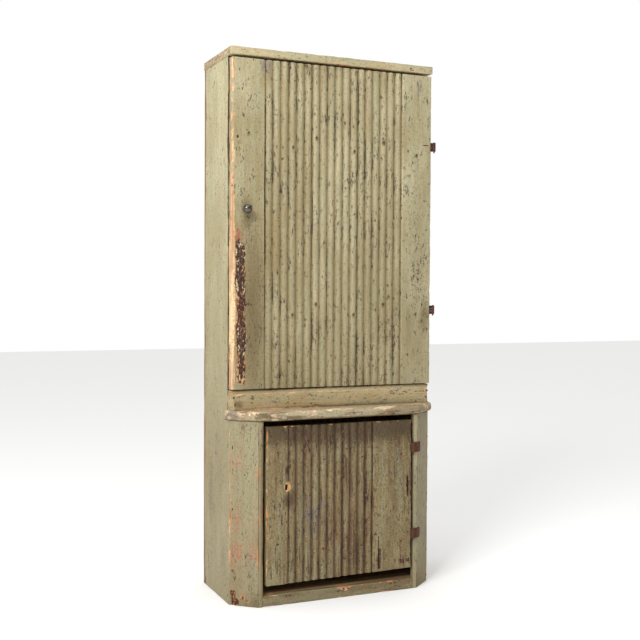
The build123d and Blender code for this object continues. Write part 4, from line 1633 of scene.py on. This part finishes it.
@dataclass
class UpperDoor(ReededDoor):
    """The tall door, worn to a hollow where hands have pulled it open."""

    grip_radius: float = 8 * MM
    grip_middle: float = 1.02
    grip_reach: float = 0.24
    grip_hollow: float = 7 * MM
    crust_low: float = 0.735
    crust_high: float = 1.27

    def build(self) -> None:
        """Makes the three boards and the battens."""
        for index, (start, count) in enumerate(self.reed_layout(), start=1):
            node = f"{self.name}_board_{index}"
            low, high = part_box(node)
            first, last = index == 1, index == self.board_count
            hollows = self.hollows(index, low, high)
            radii = self.corner_radii(self.grip_radius if first else None, last)
            Board(
                name=f"{node}_wood",
                nodes=(node,),
                body=self.body,
                grain=Grain.Z,
                ring=self.ring(low, high, start, count, radii, hollows),
                span=(low.z, high.z),
                face=self.paint,
                ends=self.paint,
                slot=self.slot,
                seed=self.seed + index,
                spacing=12 * MM,
                wave=0.45 * MM,
                wear=0.6 if first else 0.9,
                hollows=hollows,
                blots=(
                    *self.blots(index, low, high),
                    *rust_round("upper_door_nails", low, high, Mark.DAMP, 1.1),
                ),
                shape=self.grip if first else None,
            ).make()
        self.battens()

    def grip(self, points: np.ndarray, marks: dict[Mark, np.ndarray]) -> None:
        """Wears the free arris into a long shallow hollow.

        Args:
            points: The board's points, which move.
            marks: The board's marks, which gain bare wood along the arris.
        """
        edge = points[..., 0].min()
        front = points[..., 1].min()
        height = points[..., 2]
        inset = points[..., 0] - edge
        near = np.clip(1 - inset / 0.030, 0, 1)
        facing = np.clip(1 - (points[..., 1] - front) / 0.022, 0, 1)
        along = np.exp(-(((height - self.grip_middle) / self.grip_reach) ** 2))
        ragged = 0.85 + 0.3 * ripple(points, 0.1, 53)
        take = near * facing * along * ragged
        band = np.clip(1.3 - inset / (0.018 + 0.005 * along), 0, 1)
        marks[Mark.BARE] = np.maximum(marks[Mark.BARE], band * (0.42 + 0.65 * along))
        crust = ease(height, self.crust_low, self.crust_low + 0.05)
        crust *= 1 - ease(height, self.crust_high - 0.06, self.crust_high)
        middle = 0.031 + 0.007 * (self.crust_high - height) / (self.crust_high - self.crust_low)
        half = 0.0165 * (0.95 + 0.2 * ripple(points * np.array([0, 0, 1.0]), 0.12, 59))
        spot = np.clip(1.6 - np.abs(inset - middle) / half, 0, 1.25) * crust
        marks[Mark.SOOT] = np.maximum(marks[Mark.SOOT], spot * facing)
        rim = np.exp(-(((inset - middle + half * 1.1) / 0.005) ** 2)) * crust
        marks[Mark.FLECK] = np.maximum(marks[Mark.FLECK], rim * 1.1)
        points[..., 1] += take * self.grip_hollow
        points[..., 0] += take * self.grip_hollow * 0.35

    def hollows(self, index: int, low: Vector, high: Vector) -> tuple[Hollow, ...]:
        """Splits and holes of one board.

        Args:
            index: Which board, from 1.
            low: Its lowest corner.
            high: Its highest corner.

        Returns:
            Its hollows.
        """
        if index == 1:
            return (
                Hollow(-0.2640, 1.16, 1.72, 3.2 * MM, 8 * MM, 0.5 * MM),
                Hollow(-0.3640, 1.590, 1.604, 5 * MM, 3 * MM),
            )
        if index == self.board_count:
            return (
                Hollow(0.330, high.z - 0.16, high.z - 0.02, 1.2 * MM, 3 * MM, 1.0 * MM),
                Hollow(0.364, 1.609, 1.6135, 17 * MM, 2 * MM),
                Hollow(0.352, 1.02, 1.035, 2.5 * MM, 6 * MM),
                Hollow(0.3745, 0.93, 0.945, 2.5 * MM, 6 * MM),
            )
        return ()

    def blots(self, index: int, low: Vector, high: Vector) -> tuple[Blot, ...]:
        """Marks of one board.

        Args:
            index: Which board, from 1.
            low: Its lowest corner.
            high: Its highest corner.

        Returns:
            Its marks.
        """
        front = low.y
        if index == 1:
            return (
                Blot(Mark.FLECK, (low.x + 0.024, front, 1.245), (0.018, 0.03, 0.062), 1.6),
                Blot(Mark.DAMP, (low.x + 0.055, front, 1.33), (0.03, 0.03, 0.09), 0.7),
                Blot(Mark.DAMP, (low.x + 0.075, front, 1.0), (0.07, 0.03, 0.4), 0.74),
                Blot(Mark.SLATE, (-0.266, front, high.z - 0.02), (0.028, 0.03, 0.04), 0.9),
                Blot(Mark.DAMP, (-0.256, front, high.z - 0.05), (0.03, 0.03, 0.06), 0.6),
            )
        if index == self.board_count:
            return (
                Blot(Mark.SLATE, (0.337, front, 1.82), (0.018, 0.03, 0.04), 0.7),
                Blot(Mark.DAMP, (0.36, front, 0.98), (0.03, 0.03, 0.1), 0.6),
                Blot(Mark.DAMP, (0.20, front, 1.0), (0.1, 0.03, 0.3), 0.35),
                Blot(Mark.DAMP, (0.34, front, 1.25), (0.05, 0.03, 0.5), 0.42),
            )
        # Painted shadow across the middle board's top, under the top board's edge.
        return (Blot(Mark.DAMP, (0.0, front, high.z), (0.2, 0.03, 0.05), 0.4),)


@dataclass
class LowerDoor(ReededDoor):
    """The short door, darker and more weathered, with its foot sawn on the slant."""

    rise: float = 9 * MM
    flat_width: float = 80 * MM
    layout: tuple[int, ...] = (7, 3, 1)
    free_radius: float = 2.5 * MM

    def reed_layout(self) -> list[tuple[float, int]]:
        """Where each board's reeds start and how many it has."""
        rows = []
        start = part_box(f"{self.name}_board_1")[0].x + self.flat_width
        for count in self.layout:
            rows.append((start, count))
            start += count * self.reed_pitch
        return rows

    def build(self) -> None:
        """Makes the three boards and the battens."""
        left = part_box(f"{self.name}_board_1")[0]
        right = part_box(f"{self.name}_board_3")[1]
        slope = self.rise / (right.x - left.x)
        for index, (start, count) in enumerate(self.reed_layout(), start=1):
            node = f"{self.name}_board_{index}"
            low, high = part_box(node)
            first, last = index == 1, index == self.board_count
            foot = left.z
            hollows = self.hollows(index, low, high)

            def shape(points: np.ndarray, marks: dict[Mark, np.ndarray]) -> None:
                """Cuts the foot on the slant.

                Args:
                    points: The board's points, which move.
                    marks: The board's marks, left as they are.
                """
                lift = (points[..., 0] - left.x) * slope
                share = (high.z - points[..., 2]) / (high.z - foot)
                points[..., 2] += lift * share

            radii = self.corner_radii(self.free_radius if first else None, last)
            Board(
                name=f"{node}_wood",
                nodes=(node,),
                body=self.body,
                grain=Grain.Z,
                ring=self.ring(low, high, start, count, radii, hollows),
                span=(foot, high.z),
                face=self.paint,
                ends=self.paint,
                slot=self.slot,
                seed=self.seed + index,
                spacing=9 * MM,
                wave=0.7 * MM,
                chip=2.6 * MM,
                hollows=hollows,
                blots=(
                    *self.blots(index, low, high),
                    *rust_round("lower_door_nails", low, high, Mark.FLECK, 1.3),
                ),
                shape=shape,
            ).make()
        self.battens()

    def hollows(self, index: int, low: Vector, high: Vector) -> tuple[Hollow, ...]:
        """The keyhole, splits and rot of one board.

        Args:
            index: Which board, from 1.
            low: Its lowest corner.
            high: Its highest corner.

        Returns:
            Its hollows.
        """
        if index == 1:
            return (
                Hollow(-0.2055, 0.388, 0.4175, 7 * MM, 15 * MM),
                Hollow(-0.208, 0.425, 0.47, 1.2 * MM, 4 * MM, 1 * MM),
            )
        if index == 2:
            return (Hollow(low.x + 0.045, 0.09, 0.30, 1.2 * MM, 4 * MM, 1 * MM),)
        return (
            Hollow(0.262, 0.33, 0.41, 2.2 * MM, 9 * MM, 2 * MM),
            Hollow(0.150, 0.08, 0.20, 2.0 * MM, 8 * MM, 2 * MM),
            Hollow(0.255, 0.27, 0.32, 1.2 * MM, 4 * MM, 1 * MM),
        )

    def blots(self, index: int, low: Vector, high: Vector) -> tuple[Blot, ...]:
        """Marks of one board.

        Args:
            index: Which board, from 1.
            low: Its lowest corner.
            high: Its highest corner.

        Returns:
            Its marks.
        """
        front = low.y
        # Painted shadow of the waist board's nose across the top of each board.
        nose_shadow = Blot(Mark.DAMP, ((low.x + high.x) / 2, front, high.z), (0.3, 0.03, 0.085), 1.15)
        if index == 1:
            return (
                nose_shadow,
                # Soot near z 0.54 and 0.57 gives black patches that deepen the painted shadow under the
                # nose; the one at 0.46 follows the split.
                Blot(Mark.SOOT, (-0.125, front, 0.54), (0.05, 0.03, 0.06), 0.55),
                Blot(Mark.SOOT, (-0.20, front, 0.46), (0.022, 0.03, 0.05), 0.55),
                Blot(Mark.SOOT, (-0.06, front, 0.57), (0.10, 0.03, 0.03), 0.45),
                Blot(Mark.BARE, (-0.14, front, 0.52), (0.02, 0.03, 0.06), 0.55),
                Blot(Mark.BARE, (-0.07, front, 0.55), (0.02, 0.03, 0.05), 0.5),
                Blot(Mark.BARE, (-0.203, front, 0.405), (0.014, 0.03, 0.024), 1.5),
                Blot(Mark.DAMP, (-0.195, front, 0.36), (0.03, 0.03, 0.04), 0.9),
                Blot(Mark.FLECK, (-0.185, front, 0.36), (0.02, 0.03, 0.02), 0.8),
                Blot(Mark.SLATE, (-0.12, front, 0.30), (0.07, 0.03, 0.10), 0.55),
                Blot(Mark.FLECK, (-0.02, front, 0.22), (0.035, 0.03, 0.22), 0.72),
                Blot(Mark.BARE, (low.x, front, 0.35), (0.004, 0.02, 0.4), 0.35),
            )
        if index == 2:
            return (
                nose_shadow,
                Blot(Mark.SOOT, (low.x, front, 0.4), (0.006, 0.02, 0.35), 0.7),
                Blot(Mark.FLECK, (low.x + 0.03, front, 0.25), (0.035, 0.03, 0.22), 0.7),
            )
        return (
            nose_shadow,
            Blot(Mark.SOOT, (0.2, front, 0.33), (0.006, 0.02, 0.12), 0.45),
            Blot(Mark.SLATE, (0.22, front, 0.45), (0.05, 0.02, 0.08), 0.3),
            Blot(Mark.SOOT, (low.x + 0.004, front, 0.35), (0.006, 0.02, 0.3), 0.6),
            Blot(Mark.FLECK, (low.x + 0.012, front, 0.3), (0.012, 0.02, 0.25), 0.8),
            Blot(Mark.SOOT, (0.262, front, 0.37), (0.007, 0.02, 0.04), 0.8),
            Blot(Mark.SOOT, (0.150, front, 0.12), (0.010, 0.02, 0.05), 0.9),
            Blot(Mark.SOOT, (0.24, front, 0.10), (0.04, 0.02, 0.012), 0.7),
            Blot(Mark.BARE, (0.209, front, 0.56), (0.004, 0.02, 0.03), 0.8),
        )


# ---------------------------------------------------------------- ironwork
@dataclass
class Ironwork:
    """Hinges, pins, screws, nails, lock, latch and knob."""

    segments: int = 48
    hinge_bevel: float = 0.4 * MM

    def build(self) -> None:
        """Dresses the iron that keeps its own shape, and turns the knob."""
        for door, iron in (("upper", DARK_IRON), ("lower", RUSTY_IRON)):
            for place in ("bottom", "top"):
                for leaf in ("case", "door"):
                    keep_node(f"{door}_hinge_{place}_{leaf}_leaf", iron, self.hinge_bevel)
            keep_node(f"{door}_hinge_pins", iron, 0.0)
        for node in ("latch_bar", "latch_keeper", "lock_case", "lock_bolt", "strike_plate"):
            keep_node(node, DARK_IRON, self.hinge_bevel)
        keep_node("knob_spindle", DARK_IRON, 0.0)
        for node in ("top_nails", "front_nails", "back_nails", "upper_door_nails", "lower_door_nails"):
            keep_node(node, NAIL_IRON, 0.0)
        for node in ("hinge_screws", "upper_door_screws", "lower_door_screws"):
            keep_node(node, RUSTY_IRON, 0.0)
        self.knob()

    def knob(self) -> None:
        """Turns the ball knob with its rose and neck."""
        low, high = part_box("knob")
        middle = ((low.x + high.x) / 2, (low.z + high.z) / 2)
        ball = (high.x - low.x) / 2
        rose, neck = ball * 0.69, ball * 0.36
        foot = high.y
        profile = [
            (0.0005, foot),
            (rose, foot),
            (rose, foot - 1.2 * MM),
            (rose * 0.9, foot - 2.4 * MM),
            (neck * 1.1, foot - 3.2 * MM),
            (neck, foot - 5.5 * MM),
            (neck, foot - 8.6 * MM),
        ]
        centre = low.y + ball
        start = atan2(neck, foot - 9.2 * MM - centre)
        for share in np.linspace(0, 1, 22):
            turn = start + (pi - 0.02 - start) * share
            profile.append((ball * sin(turn), centre + ball * cos(turn)))
        rings = []
        for radius, y in profile:
            turns = np.linspace(0, 2 * pi, self.segments, endpoint=False)
            ring = [(middle[0] + radius * cos(a), y, middle[1] + radius * sin(a)) for a in turns]
            rings.append(ring)
        points = np.array(rings)
        centre_line = np.array([middle[0], 0, middle[1]])
        spokes = (points - centre_line) * np.array([1, 0, 1])
        points += spokes * (ripple(points, 0.02, 61)[..., None] * 0.012 - 0.012)
        marks = {mark: np.zeros(points.shape[:2]) for mark in Mark if mark is not Mark.PLANK}
        iron = STOCK.of(Iron("knob_iron", face=tint(104, 96, 92), rust_share=0.25, polish=0.2, metal=0.9))
        piece = skin("knob_ball", points, marks, 67, iron, iron)
        settle(piece, "knob", ("knob",))


# ---------------------------------------------------------------- studio
@dataclass
class Studio:
    """Pale floor, soft lights and the camera."""

    focal_length_px: float = 1013.66
    image_width: float = 640.0
    sensor_width: float = 36.0
    eye: tuple[float, float, float] = (-1.4933, -3.3766, 1.0714)
    yaw: float = 23.766
    pitch: float = -1.568
    roll: float = 0.307
    floor_size: float = 30.0
    sky: float = 0.36
    overhead_strength: float = 1.75

    def build(self) -> None:
        """Sets up the floor, the lights, the surroundings and the camera."""
        self.floor()
        self.area("key", (-3.4, -2.9, 3.6), (0.0, 0.0, 1.0), 1.8, 195.0)
        self.overhead()
        self.surroundings()
        self.camera()

    def floor(self) -> None:
        """Lays the floor."""
        mesh = bpy.data.meshes.new("studio_floor")
        work = bmesh.new()
        bmesh.ops.create_grid(work, x_segments=2, y_segments=2, size=self.floor_size / 2)
        work.to_mesh(mesh)
        work.free()
        mesh.materials.append(STOCK.of(StudioFloor()))
        plane = bpy.data.objects.new("studio_floor", mesh)
        bpy.context.scene.collection.objects.link(plane)

    def area(
        self,
        name: str,
        place: tuple[float, float, float],
        aim: tuple[float, float, float],
        size: float,
        power: float,
    ) -> None:
        """Hangs one square soft light.

        Args:
            name: The light's name.
            place: Where it hangs.
            aim: The point it faces.
            size: Its side.
            power: Its power in watts.
        """
        data = bpy.data.lights.new(name, "AREA")
        data.size = size
        data.energy = power
        lamp = bpy.data.objects.new(name, data)
        lamp.location = place
        lamp.rotation_euler = (Vector(aim) - Vector(place)).to_track_quat("-Z", "Y").to_euler()
        lamp.visible_camera = False
        bpy.context.scene.collection.objects.link(lamp)

    def overhead(self) -> None:
        """Hangs even light straight above, which whitens the floor right out to its edge."""
        data = bpy.data.lights.new("overhead", "SUN")
        data.energy = self.overhead_strength
        data.angle = radians(50)
        lamp = bpy.data.objects.new("overhead", data)
        bpy.context.scene.collection.objects.link(lamp)

    def surroundings(self) -> None:
        """Fills the room with even light, and leaves the backdrop plain white."""
        scene = bpy.context.scene
        world = bpy.data.worlds.new("studio")
        world.use_nodes = True
        tree = world.node_tree
        tree.nodes.clear()
        seen = tree.nodes.new("ShaderNodeLightPath")
        soft = tree.nodes.new("ShaderNodeBackground")
        soft.inputs["Color"].default_value = (1.0, 1.0, 1.0, 1.0)
        soft.inputs["Strength"].default_value = self.sky
        white = tree.nodes.new("ShaderNodeBackground")
        white.inputs["Color"].default_value = (1.0, 1.0, 1.0, 1.0)
        white.inputs["Strength"].default_value = 1.0
        either = tree.nodes.new("ShaderNodeMixShader")
        out = tree.nodes.new("ShaderNodeOutputWorld")
        tree.links.new(seen.outputs["Is Camera Ray"], either.inputs[0])
        tree.links.new(soft.outputs[0], either.inputs[1])
        tree.links.new(white.outputs[0], either.inputs[2])
        tree.links.new(either.outputs[0], out.inputs["Surface"])
        scene.world = world
        scene.view_settings.view_transform = "Standard"

    def camera(self) -> None:
        """Sets the camera up at standing eye height, off to the cabinet's left."""
        yaw, pitch, roll = (radians(angle) for angle in (self.yaw, self.pitch, self.roll))
        ahead = Vector((sin(yaw) * cos(pitch), cos(yaw) * cos(pitch), sin(pitch)))
        level = Vector((cos(yaw), -sin(yaw), 0.0))
        upright = level.cross(ahead)
        across = level * cos(roll) + upright * sin(roll)
        up = upright * cos(roll) - level * sin(roll)
        data = bpy.data.cameras.new("camera")
        data.sensor_width = self.sensor_width
        data.lens = self.focal_length_px / self.image_width * self.sensor_width
        eye = bpy.data.objects.new("camera", data)
        turn = Matrix((across, up, -ahead)).transposed().to_4x4()
        eye.matrix_world = Matrix.Translation(self.eye) @ turn
        bpy.context.scene.collection.objects.link(eye)
        bpy.context.scene.camera = eye


def main() -> None:
    """Builds the cabinet sub-assembly by sub-assembly, then the studio round it."""
    Case().build()
    UpperDoor("upper_door", "upper_door", 3, DOOR_PAINT, "door_paint").build()
    LowerDoor("lower_door", "lower_door", 3, LOWER_PAINT, "lower_door_paint", seed=200).build()
    Ironwork().build()
    Studio().build()


if __name__ == "__main__":
    main()
